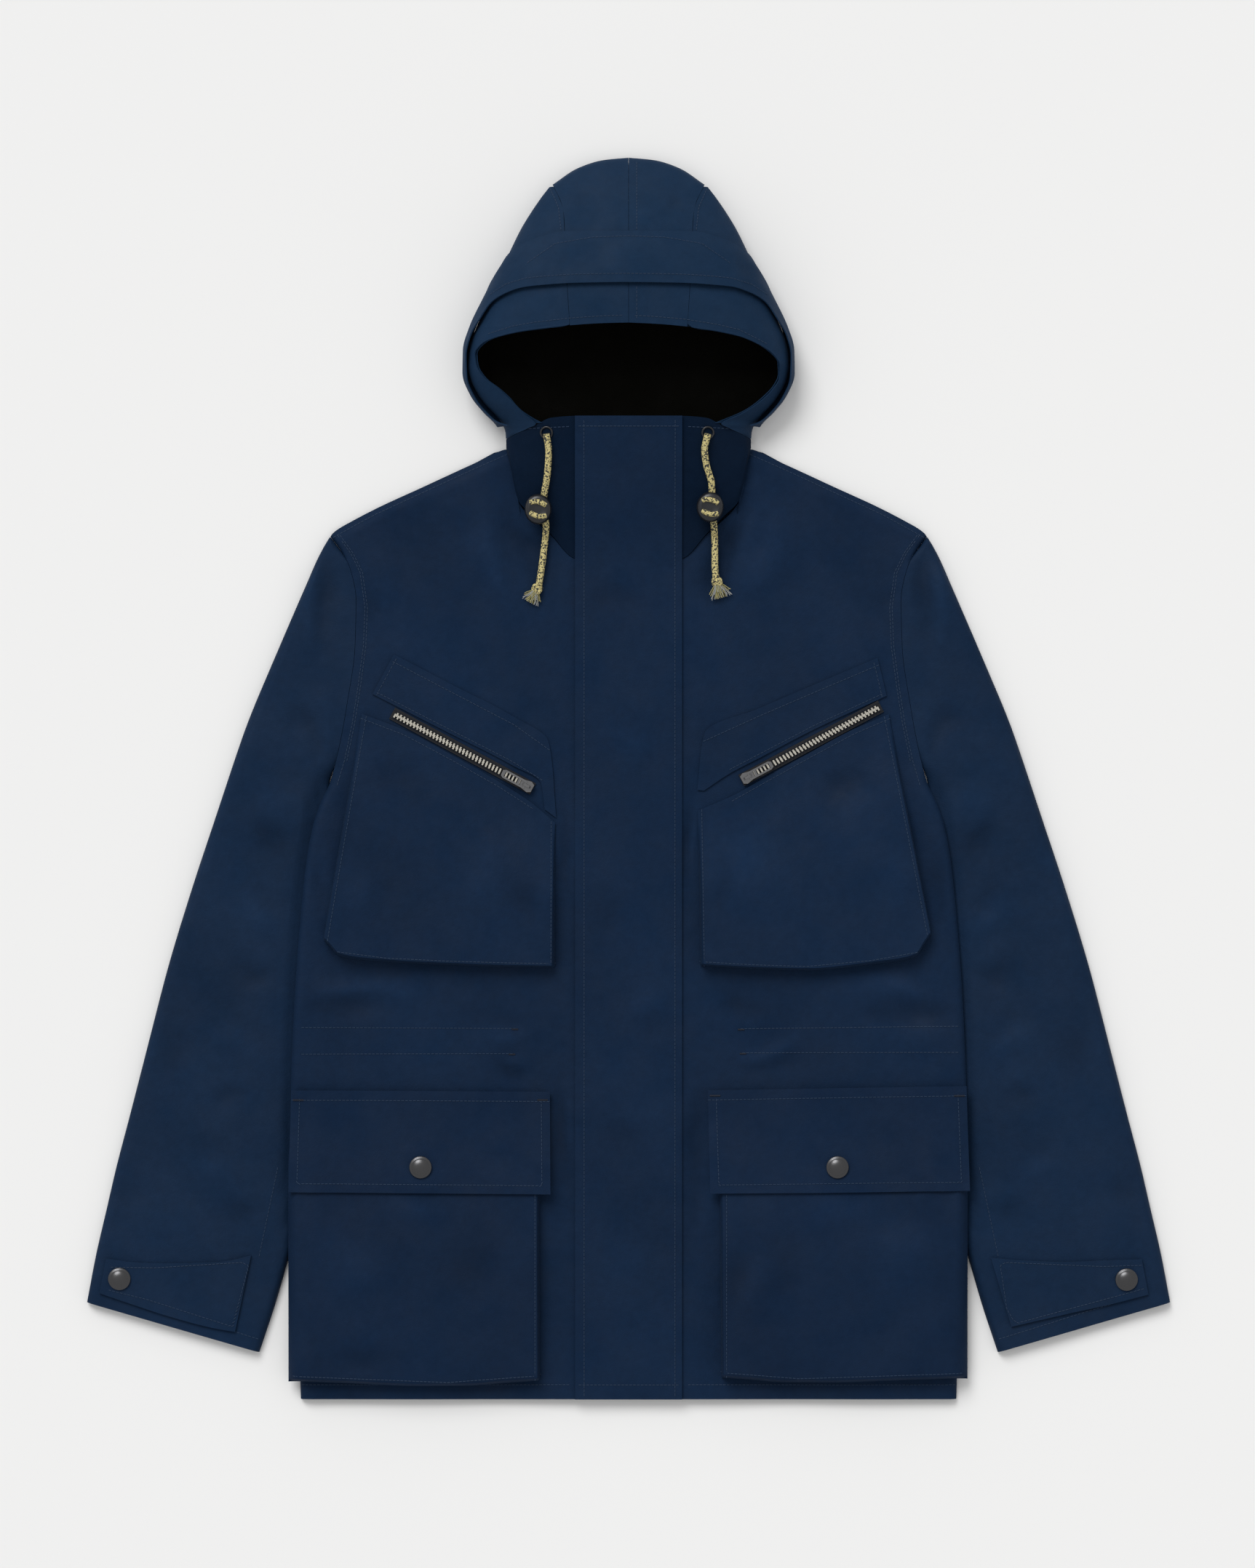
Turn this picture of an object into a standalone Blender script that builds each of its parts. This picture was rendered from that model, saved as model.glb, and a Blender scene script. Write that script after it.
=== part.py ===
"""Hooded cotton anorak, laid flat on its back with the front up.

The x axis runs across the garment, y from the hem to the hood, z up from the
surface that it lies on.  The origin is on that surface, under the middle of the
garment.  Tables and functions work in millimetres; meshes are made in metres.
Sizes from the centre line outwards hold for both halves; "side" is -1 for the
half at -x and +1 for the half at +x.
"""
import math
from collections import namedtuple

import bmesh
import bpy
from mathutils import Vector

MM = 0.001
CLOTH = 1.2            # one layer of waxed cotton with its seam turnings
DOUBLE_CLOTH = 2.0     # flaps, tabs and the placket are two layers
LINING_CLOTH = 1.0
SEAM_GAP = 0.3         # between two pieces that are sewn edge to edge
LAYER_GAP = 0.5        # between a piece and the panel that it lies on

ARMPIT_Y = -5.0
SHOULDER_POINT = (246.0, 199.0)
NECK_POINT = (101.0, 271.0)
LIP_Y = 296.7          # top edge of the placket and of the collar behind it
PLACKET_HALF = 44.0
EDGE_ROLL = 7.0        # how far in from its edge a laid panel rounds over

NAVY = (0.010, 0.022, 0.052, 1.0)
LINING_OLIVE = (0.008, 0.008, 0.006, 1.0)
TAPE_BLACK = (0.006, 0.007, 0.009, 1.0)
GUNMETAL = (0.16, 0.16, 0.17, 1.0)
SILVER = (0.42, 0.40, 0.35, 1.0)
CORD_CREAM = (0.46, 0.40, 0.20, 1.0)
STOPPER_BLACK = (0.008, 0.009, 0.012, 1.0)

EdgeRow = namedtuple("EdgeRow", "y half_width")
TopRow = namedtuple("TopRow", "x y")
HeightRow = namedtuple("HeightRow", "y height")
SleeveRow = namedtuple("SleeveRow", "inner_y outer_y height")
HoodRow = namedtuple("HoodRow", "y half_width crown_height widest_height")
RimRow = namedtuple("RimRow", "y x facing_dy facing_turn")
FlapRow = namedtuple("FlapRow", "sewn_y sewn_angle sewn_off free_y free_angle free_off")
PlanPoint = namedtuple("PlanPoint", "x y")

# Side edge of the body, from the hem up to the armpit.
BODY_EDGE = [
    EdgeRow(-512.0, 270.3), EdgeRow(-438.0, 272.5), EdgeRow(-378.0, 274.5),
    EdgeRow(-318.0, 276.5), EdgeRow(-257.0, 278.0), EdgeRow(-199.0, 276.0),
    EdgeRow(-150.0, 273.0), EdgeRow(-102.0, 269.0), EdgeRow(-70.0, 265.5),
    EdgeRow(-37.5, 259.5), EdgeRow(-20.0, 253.5), EdgeRow(-5.0, 246.4),
]
# Armhole seam, from the armpit up to the shoulder point.
ARMHOLE = [
    EdgeRow(-5.0, 246.4), EdgeRow(15.0, 240.6), EdgeRow(45.0, 234.4),
    EdgeRow(73.0, 230.0), EdgeRow(108.0, 225.3), EdgeRow(140.0, 224.0),
    EdgeRow(169.0, 228.0), EdgeRow(185.0, 235.8), EdgeRow(199.0, 246.0),
]
# Front neck seam, from the centre out to the neck point.
NECK_SEAM = [
    TopRow(0.0, 176.7), TopRow(43.0, 180.0), TopRow(64.0, 200.0),
    TopRow(91.0, 228.0), TopRow(101.0, 271.0),
]
SHOULDER_LINE = [
    TopRow(101.0, 271.0), TopRow(131.0, 257.7), TopRow(170.0, 239.7),
    TopRow(209.0, 221.7), TopRow(242.0, 203.7), TopRow(246.0, 199.0),
]
# Upper face of the front, away from its edges.
FRONT_HEIGHT = [
    HeightRow(-512.0, 8.0), HeightRow(-480.0, 8.8), HeightRow(-420.0, 10.2),
    HeightRow(-300.0, 11.0), HeightRow(-100.0, 11.2), HeightRow(60.0, 10.8),
    HeightRow(150.0, 10.2), HeightRow(271.0, 10.0),
]
# How high the back is carried where the sleeve is tucked under it.
TUCK_LIFT = [
    HeightRow(-512.0, 0.0), HeightRow(-412.0, 0.0), HeightRow(-396.0, 2.6),
    HeightRow(-381.0, 6.4), HeightRow(-365.0, 7.5), HeightRow(-40.0, 7.5),
    HeightRow(-5.0, 5.6), HeightRow(8.0, 2.2), HeightRow(22.0, 0.0), HeightRow(300.0, 0.0),
]
# Top of the sleeve where the body presses on it.
PRESSED_SLEEVE = [
    HeightRow(-480.0, 14.0), HeightRow(-396.0, 12.0), HeightRow(-381.0, 6.0),
    HeightRow(-365.0, 5.7), HeightRow(-40.0, 5.7), HeightRow(-5.0, 4.5),
    HeightRow(8.0, 7.4), HeightRow(24.0, 12.0), HeightRow(300.0, 14.0),
]
TUCK_RAMP = 26.0       # width over which the back climbs onto the sleeve

# Inner fold of the sleeve, where its underarm seam runs, and its outer outline.
UNDERARM = [
    EdgeRow(-473.4, 304.2), EdgeRow(-446.0, 294.8), EdgeRow(-419.0, 286.8), EdgeRow(-391.0, 278.6),
    EdgeRow(-360.0, 269.5), EdgeRow(-322.0, 262.6), EdgeRow(-278.0, 257.0), EdgeRow(-232.0, 252.6),
    EdgeRow(-188.0, 249.2), EdgeRow(-144.0, 247.0), EdgeRow(-100.0, 245.6), EdgeRow(-62.0, 245.0),
    EdgeRow(-30.0, 245.4), EdgeRow(-5.0, 246.4),
]
SLEEVE_OUTLINE = [
    EdgeRow(-432.3, 446.4), EdgeRow(-390.0, 438.3), EdgeRow(-354.0, 429.9), EdgeRow(-318.0, 421.5),
    EdgeRow(-246.0, 402.6), EdgeRow(-174.0, 384.6), EdgeRow(-102.0, 363.3), EdgeRow(-30.0, 339.6),
    EdgeRow(42.0, 315.3), EdgeRow(78.0, 300.6), EdgeRow(114.0, 285.3), EdgeRow(150.0, 269.7),
    EdgeRow(186.0, 253.8), EdgeRow(199.0, 246.0),
]
# Rows across the sleeve, from the shoulder to the cuff.
SLEEVE_ROWS = [
    SleeveRow(194.5, 193.5, 9.0), SleeveRow(174.0, 181.0, 9.6), SleeveRow(146.2, 160.0, 10.0),
    SleeveRow(108.6, 128.0, 10.4), SleeveRow(60.0, 84.0, 10.6), SleeveRow(32.0, 58.0, 10.6),
    SleeveRow(12.0, 40.0, 10.6), SleeveRow(-5.0, 24.0, 10.6), SleeveRow(-20.0, 10.0, 10.6),
    SleeveRow(-37.5, -6.0, 10.6), SleeveRow(-70.0, -38.0, 10.6), SleeveRow(-120.0, -86.0, 10.4),
    SleeveRow(-190.0, -155.0, 10.2), SleeveRow(-260.0, -222.0, 10.0), SleeveRow(-320.0, -279.0, 9.8),
    SleeveRow(-365.0, -323.0, 9.6), SleeveRow(-381.0, -339.0, 9.5), SleeveRow(-396.0, -354.0, 9.4),
    SleeveRow(-435.0, -393.0, 9.2), SleeveRow(-473.4, -432.3, 9.0),
]
SLEEVE_TIP_HEIGHT = 2.4

# Collar: height of its middle, and where its arch meets the neck seam.
COLLAR_CROWN = [
    HeightRow(176.0, 10.3), HeightRow(192.0, 13.0), HeightRow(215.0, 19.0),
    HeightRow(250.0, 28.0), HeightRow(280.0, 34.6), HeightRow(297.0, 37.0),
]
COLLAR_FOOT = [
    HeightRow(176.0, 10.2), HeightRow(228.0, 10.1), HeightRow(255.0, 10.0),
    HeightRow(264.0, 8.6), HeightRow(271.0, 3.0), HeightRow(280.0, 1.7), HeightRow(300.0, 1.7),
]
COLLAR_HALF = [
    EdgeRow(172.0, 24.0), EdgeRow(180.0, 45.0), EdgeRow(200.0, 64.6), EdgeRow(228.0, 91.4),
    EdgeRow(253.0, 98.0), EdgeRow(271.0, 101.4), EdgeRow(288.0, 103.0), EdgeRow(300.0, 108.0),
]
COLLAR_ARCH = 3.4      # superellipse exponent of the collar's cross-section
COLLAR_TOP = [
    TopRow(0.0, 296.7), TopRow(44.0, 296.7), TopRow(65.0, 295.0),
    TopRow(77.0, 289.0), TopRow(90.0, 283.5), TopRow(101.0, 278.5),
]

# Cross-sections of the hood from the neck to the top of the crown.
HOOD = [
    HoodRow(270.0, 101.2, 40.0, 6.0), HoodRow(279.0, 101.0, 41.5, 8.0),
    HoodRow(288.0, 102.4, 43.5, 11.0), HoodRow(297.0, 108.5, 46.0, 14.5),
    HoodRow(305.0, 116.0, 48.0, 18.0), HoodRow(313.0, 122.5, 50.0, 20.0),
    HoodRow(321.0, 127.0, 52.5, 21.5), HoodRow(330.0, 130.5, 56.5, 22.5),
    HoodRow(339.0, 131.8, 60.5, 22.5), HoodRow(350.0, 131.0, 64.0, 21.5),
    HoodRow(363.0, 128.0, 66.0, 20.0), HoodRow(380.0, 121.0, 66.5, 18.0),
    HoodRow(397.0, 113.5, 65.0, 17.0), HoodRow(414.0, 106.3, 61.2, 16.0),
    HoodRow(430.0, 98.6, 56.0, 15.0), HoodRow(439.0, 95.0, 52.5, 14.0),
    HoodRow(456.0, 86.2, 44.5, 12.0), HoodRow(472.5, 75.6, 35.0, 10.0),
    HoodRow(489.0, 63.0, 24.5, 8.2), HoodRow(500.0, 47.5, 17.0, 7.0),
    HoodRow(506.0, 35.0, 12.5, 6.4), HoodRow(511.5, 3.0, 6.4, 6.0),
]
HOOD_ARCH = 2.2        # superellipse exponent of the hood's cross-section
HOOD_FOOT = 11.0       # width of the round under the hood's widest line
HOOD_BACK_Y = 271.6

# Edge of the face opening: it reads from the crown down to the collar.
RIM_LEFT = [
    RimRow(371.5, 0.0, 13.0, 0.0), RimRow(371.0, 22.0, 13.0, 0.0), RimRow(369.5, 47.0, 13.0, -1.0),
    RimRow(366.5, 78.0, 12.0, -3.0), RimRow(363.5, 97.0, 10.0, -6.0), RimRow(358.0, 117.0, 6.0, -10.0),
    RimRow(348.0, 126.5, 1.0, -16.0), RimRow(338.0, 125.0, 0.0, -18.0), RimRow(326.0, 117.0, 0.0, -20.0),
    RimRow(318.0, 106.0, 0.0, -20.0), RimRow(310.0, 97.0, 0.0, -20.0), RimRow(302.0, 90.5, 0.0, -20.0),
    RimRow(294.0, 79.0, 0.0, -20.0), RimRow(290.0, 71.0, 0.0, -19.0),
]
RIM_RIGHT = [
    RimRow(371.5, 0.0, 13.0, 0.0), RimRow(370.5, 22.0, 13.0, 0.0), RimRow(368.5, 47.0, 13.0, -1.0),
    RimRow(365.0, 72.0, 12.0, -3.0), RimRow(360.5, 93.0, 10.0, -6.0), RimRow(350.0, 115.0, 6.0, -10.0),
    RimRow(340.0, 124.0, 1.0, -14.0), RimRow(330.0, 124.5, 0.0, -15.0), RimRow(321.0, 120.5, 0.0, -17.0),
    RimRow(311.0, 111.0, 0.0, -18.0), RimRow(303.0, 101.0, 0.0, -18.0), RimRow(298.0, 92.0, 0.0, -18.0),
    RimRow(293.0, 79.0, 0.0, -20.0), RimRow(290.0, 71.0, 0.0, -19.0),
]
# Seams between the crown strip and the sides: over the hood, and along its back.
CROWN_SEAM = [
    EdgeRow(368.0, 48.0), EdgeRow(400.0, 50.0), EdgeRow(449.0, 52.6),
    EdgeRow(461.0, 52.8), EdgeRow(474.0, 56.0), EdgeRow(488.0, 62.6),
]
BACK_SEAM = [
    EdgeRow(270.0, 45.0), EdgeRow(440.0, 47.0), EdgeRow(474.0, 50.0), EdgeRow(488.0, 52.0),
]
CROWN_NOSE = [
    TopRow(0.0, 511.2), TopRow(20.9, 509.2), TopRow(41.8, 502.6), TopRow(62.6, 489.0),
]
# Storm flap of the hood: its sewn line and its free edge, in the hood's own
# coordinates.  An angle of 90 is the crown, 0 the widest line and -90 the floor.
STORM_FLAP = [
    FlapRow(446.7, 90.0, 2.3, 403.5, 90.0, 4.6), FlapRow(446.7, 73.0, 2.3, 403.3, 79.0, 4.6),
    FlapRow(446.7, 57.4, 2.3, 403.0, 68.3, 4.6), FlapRow(443.0, 43.0, 2.3, 402.0, 57.0, 4.6),
    FlapRow(438.0, 30.0, 2.3, 400.5, 45.0, 4.6), FlapRow(429.0, 11.5, 2.3, 396.0, 32.0, 4.4),
    FlapRow(414.0, -8.0, 2.3, 388.5, 22.0, 4.6), FlapRow(400.0, -20.0, 2.3, 376.0, 17.0, 5.0),
    FlapRow(382.0, -25.0, 2.3, 361.0, 12.0, 5.2), FlapRow(362.0, -28.0, 2.3, 346.0, 11.0, 5.4),
    FlapRow(342.0, -30.0, 2.3, 330.0, 10.0, 5.6), FlapRow(324.0, -30.0, 2.3, 315.0, 9.0, 6.0),
    FlapRow(308.0, -28.0, 1.9, 303.0, 9.0, 5.8), FlapRow(296.0, -20.0, 2.4, 295.0, 12.0, 5.0),
    FlapRow(292.0, -8.0, 3.0, 291.5, 22.0, 4.8),
]


def read(table, key, value, at):
    """Value of one column where another column has the value `at`, on a smooth curve."""
    rows = sorted(table, key=lambda row: getattr(row, key))
    keys = [getattr(row, key) for row in rows]
    values = [getattr(row, value) for row in rows]
    if at <= keys[0]:
        return values[0]
    if at >= keys[-1]:
        return values[-1]
    i = max(n for n, k in enumerate(keys[:-1]) if k <= at)
    slopes = []
    for n in (i, i + 1):
        low = max(n - 1, 0)
        high = min(n + 1, len(keys) - 1)
        slopes.append((values[high] - values[low]) / (keys[high] - keys[low]))
    span = keys[i + 1] - keys[i]
    t = (at - keys[i]) / span
    rise = values[i + 1] - values[i]
    eased = t * t * (3.0 - 2.0 * t)
    bend = span * (slopes[0] * t * (1.0 - t) ** 2 - slopes[1] * t * t * (1.0 - t))
    steep = abs(slopes[0]) + abs(slopes[1])
    if steep * span > 4.0 * abs(rise):
        bend *= 4.0 * abs(rise) / (steep * span)
    return values[i] + rise * eased + bend


def smooth_step(t):
    t = min(max(t, 0.0), 1.0)
    return t * t * (3.0 - 2.0 * t)


def mix(a, b, t):
    return a + (b - a) * t


def rounded(distance, radius):
    """Rise of a quarter round, 0 at its edge and 1 past its radius."""
    t = min(max(distance / radius, 0.0), 1.0)
    return math.sqrt(1.0 - (1.0 - t) ** 2)


def body_half(y):
    if y < ARMPIT_Y:
        return read(BODY_EDGE, "y", "half_width", y)
    return read(ARMHOLE, "y", "half_width", min(y, SHOULDER_POINT[1]))


def shoulder_y(x):
    slope = (NECK_POINT[1] - SHOULDER_POINT[1]) / (SHOULDER_POINT[0] - NECK_POINT[0])
    if x < NECK_POINT[0]:
        return NECK_POINT[1] + (NECK_POINT[0] - x) * slope
    return read(SHOULDER_LINE, "x", "y", x)


def sleeve_inner_x(y):
    table = UNDERARM if y < ARMPIT_Y else ARMHOLE
    return read(table, "y", "half_width", y)


def sewn_to_sleeve(y):
    """1 along the armhole seam, where the cloth doesn't round over, and 0 past its ends."""
    return smooth_step((y - ARMPIT_Y - 1.0) / 16.0) * smooth_step((196.0 - y) / 14.0)


def tuck_lift(x, y):
    """How far the sleeve under the body carries the back up at a place."""
    start = read(UNDERARM, "y", "half_width", y) - TUCK_RAMP
    return read(TUCK_LIFT, "y", "height", y) * smooth_step((abs(x) - start) / TUCK_RAMP)


def front_height(x, y):
    """Upper face of a front panel."""
    x = abs(x)
    lift = tuck_lift(x, y)
    flat = read(FRONT_HEIGHT, "y", "height", y) + 0.42 * lift
    foot = lift + CLOTH + LAYER_GAP
    side_roll = rounded(body_half(y) - x, EDGE_ROLL)
    side_roll = max(side_roll, sewn_to_sleeve(y))
    shoulder_roll = rounded((shoulder_y(x) - y) * 0.9, EDGE_ROLL)
    return mix(foot, flat, min(side_roll, shoulder_roll))


def collar_height(x, y):
    half = read(COLLAR_HALF, "y", "half_width", y)
    crown = read(COLLAR_CROWN, "y", "height", y)
    foot = read(COLLAR_FOOT, "y", "height", y)
    t = min(abs(x) / half, 1.0)
    return foot + (crown - foot) * (1.0 - t ** COLLAR_ARCH) ** (1.0 / COLLAR_ARCH)


def neck_seam_y(x):
    x = min(abs(x), NECK_POINT[0])
    for near, far in zip(NECK_SEAM, NECK_SEAM[1:]):
        if x <= far.x:
            return mix(near.y, far.y, (x - near.x) / (far.x - near.x))
    return NECK_POINT[1]


def top_height(x, y):
    """Upper face of the fronts and of the collar that rises from them."""
    if abs(x) < NECK_POINT[0] and y > neck_seam_y(x):
        return max(collar_height(x, y), front_height(x, neck_seam_y(x)))
    return front_height(x, y)


def hood_point(side, y, angle, off=0.0):
    """Point on the outer face of the hood, moved out along its normal by `off`."""
    def place(at_y, at_angle):
        half = read(HOOD, "y", "half_width", at_y)
        crown = read(HOOD, "y", "crown_height", at_y)
        widest = read(HOOD, "y", "widest_height", at_y)
        turn = math.radians(min(max(at_angle, -90.0), 90.0))
        if turn >= 0.0:
            power = 2.0 / HOOD_ARCH
            x = half * max(math.cos(turn), 0.0) ** power
            z = widest + (crown - widest) * math.sin(turn) ** power
        else:
            foot = min(HOOD_FOOT, half * 0.45)
            x = half - foot * (1.0 - math.cos(turn))
            z = widest * (1.0 - math.sin(-turn))
        return Vector((side * x, at_y, z))

    point = place(y, angle)
    if off:
        along = place(y + 1.0, angle) - place(y - 1.0, angle)
        round_it = place(y, angle + 2.0) - place(y, angle - 2.0)
        normal = along.cross(round_it) * side
        if normal.length < 1e-6:
            normal = Vector((0.0, 0.0, -1.0 if angle < 0.0 else 1.0))
        point = point + normal.normalized() * off
    return point


def hood_angle(x, y):
    """Angle round the hood's section at which its upper half has a given x."""
    half = read(HOOD, "y", "half_width", y)
    t = min(abs(x) / half, 1.0)
    return math.degrees(math.acos(t ** (HOOD_ARCH / 2.0)))


def material(name, colour, roughness, metallic=0.0):
    made = bpy.data.materials.get(name)
    if made is None:
        made = bpy.data.materials.new(name)
        made.use_nodes = True
        shader = made.node_tree.nodes["Principled BSDF"]
        shader.inputs["Base Color"].default_value = colour
        shader.inputs["Roughness"].default_value = roughness
        shader.inputs["Metallic"].default_value = metallic
    return made


def navy():
    return material("navy_waxed_cotton", NAVY, 0.75)


def mesh_object(name, points, faces, finish, smooth=True):
    """Object from points in millimetres; its faces are turned outwards."""
    mesh = bpy.data.meshes.new(name)
    mesh.from_pydata([Vector(p) * MM for p in points], [], faces)
    shape = bmesh.new()
    shape.from_mesh(mesh)
    bmesh.ops.recalc_face_normals(shape, faces=shape.faces)
    if shape.calc_volume(signed=True) < 0.0:
        bmesh.ops.reverse_faces(shape, faces=shape.faces)
    shape.to_mesh(mesh)
    shape.free()
    if smooth:
        mesh.shade_smooth()
        mesh.set_sharp_from_angle(angle=math.radians(40.0))
    mesh.materials.append(finish)
    made = bpy.data.objects.new(name, mesh)
    bpy.context.scene.collection.objects.link(made)
    return made


def grid_normals(grid, up, closed):
    """Unit normal at each grid point, on the side of the grid that `up` names."""
    rows, cols = len(grid), len(grid[0])
    normals = []
    for r in range(rows):
        line = []
        for c in range(cols):
            left = (c - 1) % cols if closed else max(c - 1, 0)
            right = (c + 1) % cols if closed else min(c + 1, cols - 1)
            total = Vector((0.0, 0.0, 0.0))
            for low, high in ((max(r - 1, 0), r), (r, min(r + 1, rows - 1))):
                for a, b in ((left, c), (c, right)):
                    down = grid[high][c] - grid[low][c]
                    across = grid[r][b] - grid[r][a]
                    piece = across.cross(down)
                    if piece.length > 1e-9:
                        total += piece.normalized()
            line.append(total.normalized() * up)
        normals.append(line)
    return normals


def wall(name, grid, thickness, up, finish, closed=False):
    """Sheet of cloth: `grid` is its outer face and the wall grows inwards from it."""
    grid = [[Vector(p) for p in row] for row in grid]
    normals = grid_normals(grid, up, closed)
    rows, cols = len(grid), len(grid[0])
    points = [p for row in grid for p in row]
    points += [p - n * thickness for row, line in zip(grid, normals) for p, n in zip(row, line)]
    inner = rows * cols
    faces = []
    last = cols if closed else cols - 1
    for r in range(rows - 1):
        for c in range(last):
            a = r * cols + c
            b = r * cols + (c + 1) % cols
            for part in ((a, b, b + cols), (a, b + cols, a + cols)):
                faces.append(part)
                faces.append(tuple(inner + i for i in reversed(part)))
    for r, turn in ((0, 1), (rows - 1, -1)):
        for c in range(last):
            a = r * cols + c
            b = r * cols + (c + 1) % cols
            quad = (a, inner + a, inner + b, b)
            faces.append(quad[::turn])
    if not closed:
        for c, turn in ((0, -1), (cols - 1, 1)):
            for r in range(rows - 1):
                a = r * cols + c
                b = a + cols
                quad = (a, inner + a, inner + b, b)
                faces.append(quad[::turn])
    return mesh_object(name, points, faces, finish)


# ---- body ----------------------------------------------------------------

PANEL_SHARES = (0.0, 0.175, 0.26, 0.37, 0.411, 0.53, 0.69, 0.84, 0.93, 0.974, 0.992, 1.0)
PANEL_ROWS = (-512.0, -500.0, -470.0, -420.0, -396.0, -381.0, -365.0, -320.0, -260.0,
              -190.0, -120.0, -70.0, -37.5, -20.0, -5.0, 12.0, 32.0, 60.0)
UPPER_SHARES = (0.35, 0.62, 0.82, 0.95, 1.0)
UPPER_Y = 60.0


def panel_plan(inset, top_of):
    """Plan of half a body panel as rows of (x, y), from the hem to its top edge."""
    plan = []
    for y in PANEL_ROWS:
        half = body_half(y) - inset
        plan.append([(share * half, y) for share in PANEL_SHARES])
    for up in UPPER_SHARES:
        edge_y = mix(UPPER_Y, SHOULDER_POINT[1], up)
        half = body_half(edge_y) - inset
        row = []
        for share in PANEL_SHARES:
            top_y = top_of(share * SHOULDER_POINT[0]) - inset
            row.append((share * half, mix(UPPER_Y, top_y, up)))
        plan.append(row)
    return plan


def front_top_y(x):
    return neck_seam_y(x) if x < NECK_POINT[0] else shoulder_y(x)


def back_top_y(x):
    return NECK_POINT[1] if x < NECK_POINT[0] else shoulder_y(x)


def make_back():
    half = panel_plan(SEAM_GAP + 0.1, back_top_y)
    grid = []
    for row in half:
        line = [(-x, y) for x, y in reversed(row)] + list(row[1:])
        grid.append([(x, y, tuck_lift(x, y)) for x, y in line])
    return wall("back", grid, CLOTH, -1, navy())


def make_front(side, label):
    grid = []
    for row in panel_plan(SEAM_GAP / 2.0, front_top_y):
        line = [(max(x, SEAM_GAP / 2.0), y) for x, y in row]
        grid.append([(side * x, y, front_height(x, y)) for x, y in line])
    return wall("front_" + label, grid, CLOTH, side, navy())


def placket_rows():
    return [y for y in PANEL_ROWS] + [110.0, 150.0, 172.0, 182.0, 198.0, 220.0, 250.0, 275.0, LIP_Y]


def make_placket():
    grid = []
    for y in placket_rows():
        line = []
        for x in (-PLACKET_HALF, -15.0, 15.0, PLACKET_HALF):
            line.append((x, y, top_height(x, y) + LAYER_GAP + DOUBLE_CLOTH))
        grid.append(line)
    return wall("placket", grid, DOUBLE_CLOTH, 1, navy())


def make_collar(side, label):
    grid = []
    for up in (0.0, 0.12, 0.3, 0.55, 0.8, 1.0):
        line = []
        for x in (SEAM_GAP / 2.0, 43.0, 64.0, 78.0, 91.0, 97.0, 101.0):
            low = neck_seam_y(x) + SEAM_GAP
            high = read(COLLAR_TOP, "x", "y", x)
            y = mix(low, high, up)
            near = x - SEAM_GAP if x > 43.0 else x
            line.append((side * near, y, collar_height(near, y)))
        grid.append(line)
    return wall("collar_" + label, grid, CLOTH, side, navy())


# ---- sleeves -------------------------------------------------------------

def sleeve_ends(row):
    """Plan of the two ends of a row across the sleeve."""
    inner_x = sleeve_inner_x(row.inner_y) + SEAM_GAP / 2.0
    return (inner_x, row.inner_y), (read(SLEEVE_OUTLINE, "y", "half_width", row.outer_y), row.outer_y)


def sleeve_top(x, y, from_inner, from_outer, height):
    """Top of the sleeve at a place, given how far it is from its two sides."""
    inner = max(rounded(from_inner, EDGE_ROLL), sewn_to_sleeve(y))
    outer = rounded(from_outer, EDGE_ROLL)
    free = mix(SLEEVE_TIP_HEIGHT, height, min(inner, outer))
    pressed = read(PRESSED_SLEEVE, "y", "height", y) + 0.5 * max(x - body_half(y) - 1.5, 0.0)
    return min(free, max(pressed, SLEEVE_TIP_HEIGHT))


def sleeve_stations(width, tuck):
    """Stations across a row: distance from the inner side, and whether on top."""
    full = max(width, 60.0)
    top = [0.0, 1.0, 3.5, max(8.0, tuck * 0.6), max(16.0, tuck + 1.0), max(24.0, tuck + 9.0)]
    top += [full * 0.6, full - 7.0, full - 3.5, full - 1.0, full]
    top = sorted(top)
    under = [full - 5.0, full * 0.5, 0.0]
    return [(d * width / full, True) for d in top] + [(d * width / full, False) for d in under]


def sleeve_line(side, row):
    inner, outer = sleeve_ends(row)
    width = math.hypot(outer[0] - inner[0], outer[1] - inner[1])
    tuck = max(body_half(row.inner_y) - inner[0], 0.0)
    points = []
    for distance, on_top in sleeve_stations(width, tuck):
        x = mix(inner[0], outer[0], distance / width)
        y = mix(inner[1], outer[1], distance / width)
        z = sleeve_top(x, y, distance, width - distance, row.height) if on_top else 0.0
        points.append((side * x, y, z))
    return points


def make_sleeve(side, label):
    grid = [sleeve_line(side, row) for row in SLEEVE_ROWS]
    return wall("sleeve_" + label, grid, CLOTH, -side, navy())


def sleeve_surface(x, y):
    """Top of the sleeve in plan, read between the two rows on either side."""
    for row, after in zip(SLEEVE_ROWS[8:-1], SLEEVE_ROWS[9:]):
        for step in range(21):
            share = step / 20.0
            between = SleeveRow(*(mix(a, b, share) for a, b in zip(row, after)))
            inner, outer = sleeve_ends(between)
            width = math.hypot(outer[0] - inner[0], outer[1] - inner[1])
            along_y = mix(inner[1], outer[1], (x - inner[0]) / (outer[0] - inner[0]))
            if along_y <= y:
                along = width * (x - inner[0]) / (outer[0] - inner[0])
                return sleeve_top(x, y, along, width - along, between.height)
    return SLEEVE_ROWS[-1].height


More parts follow.
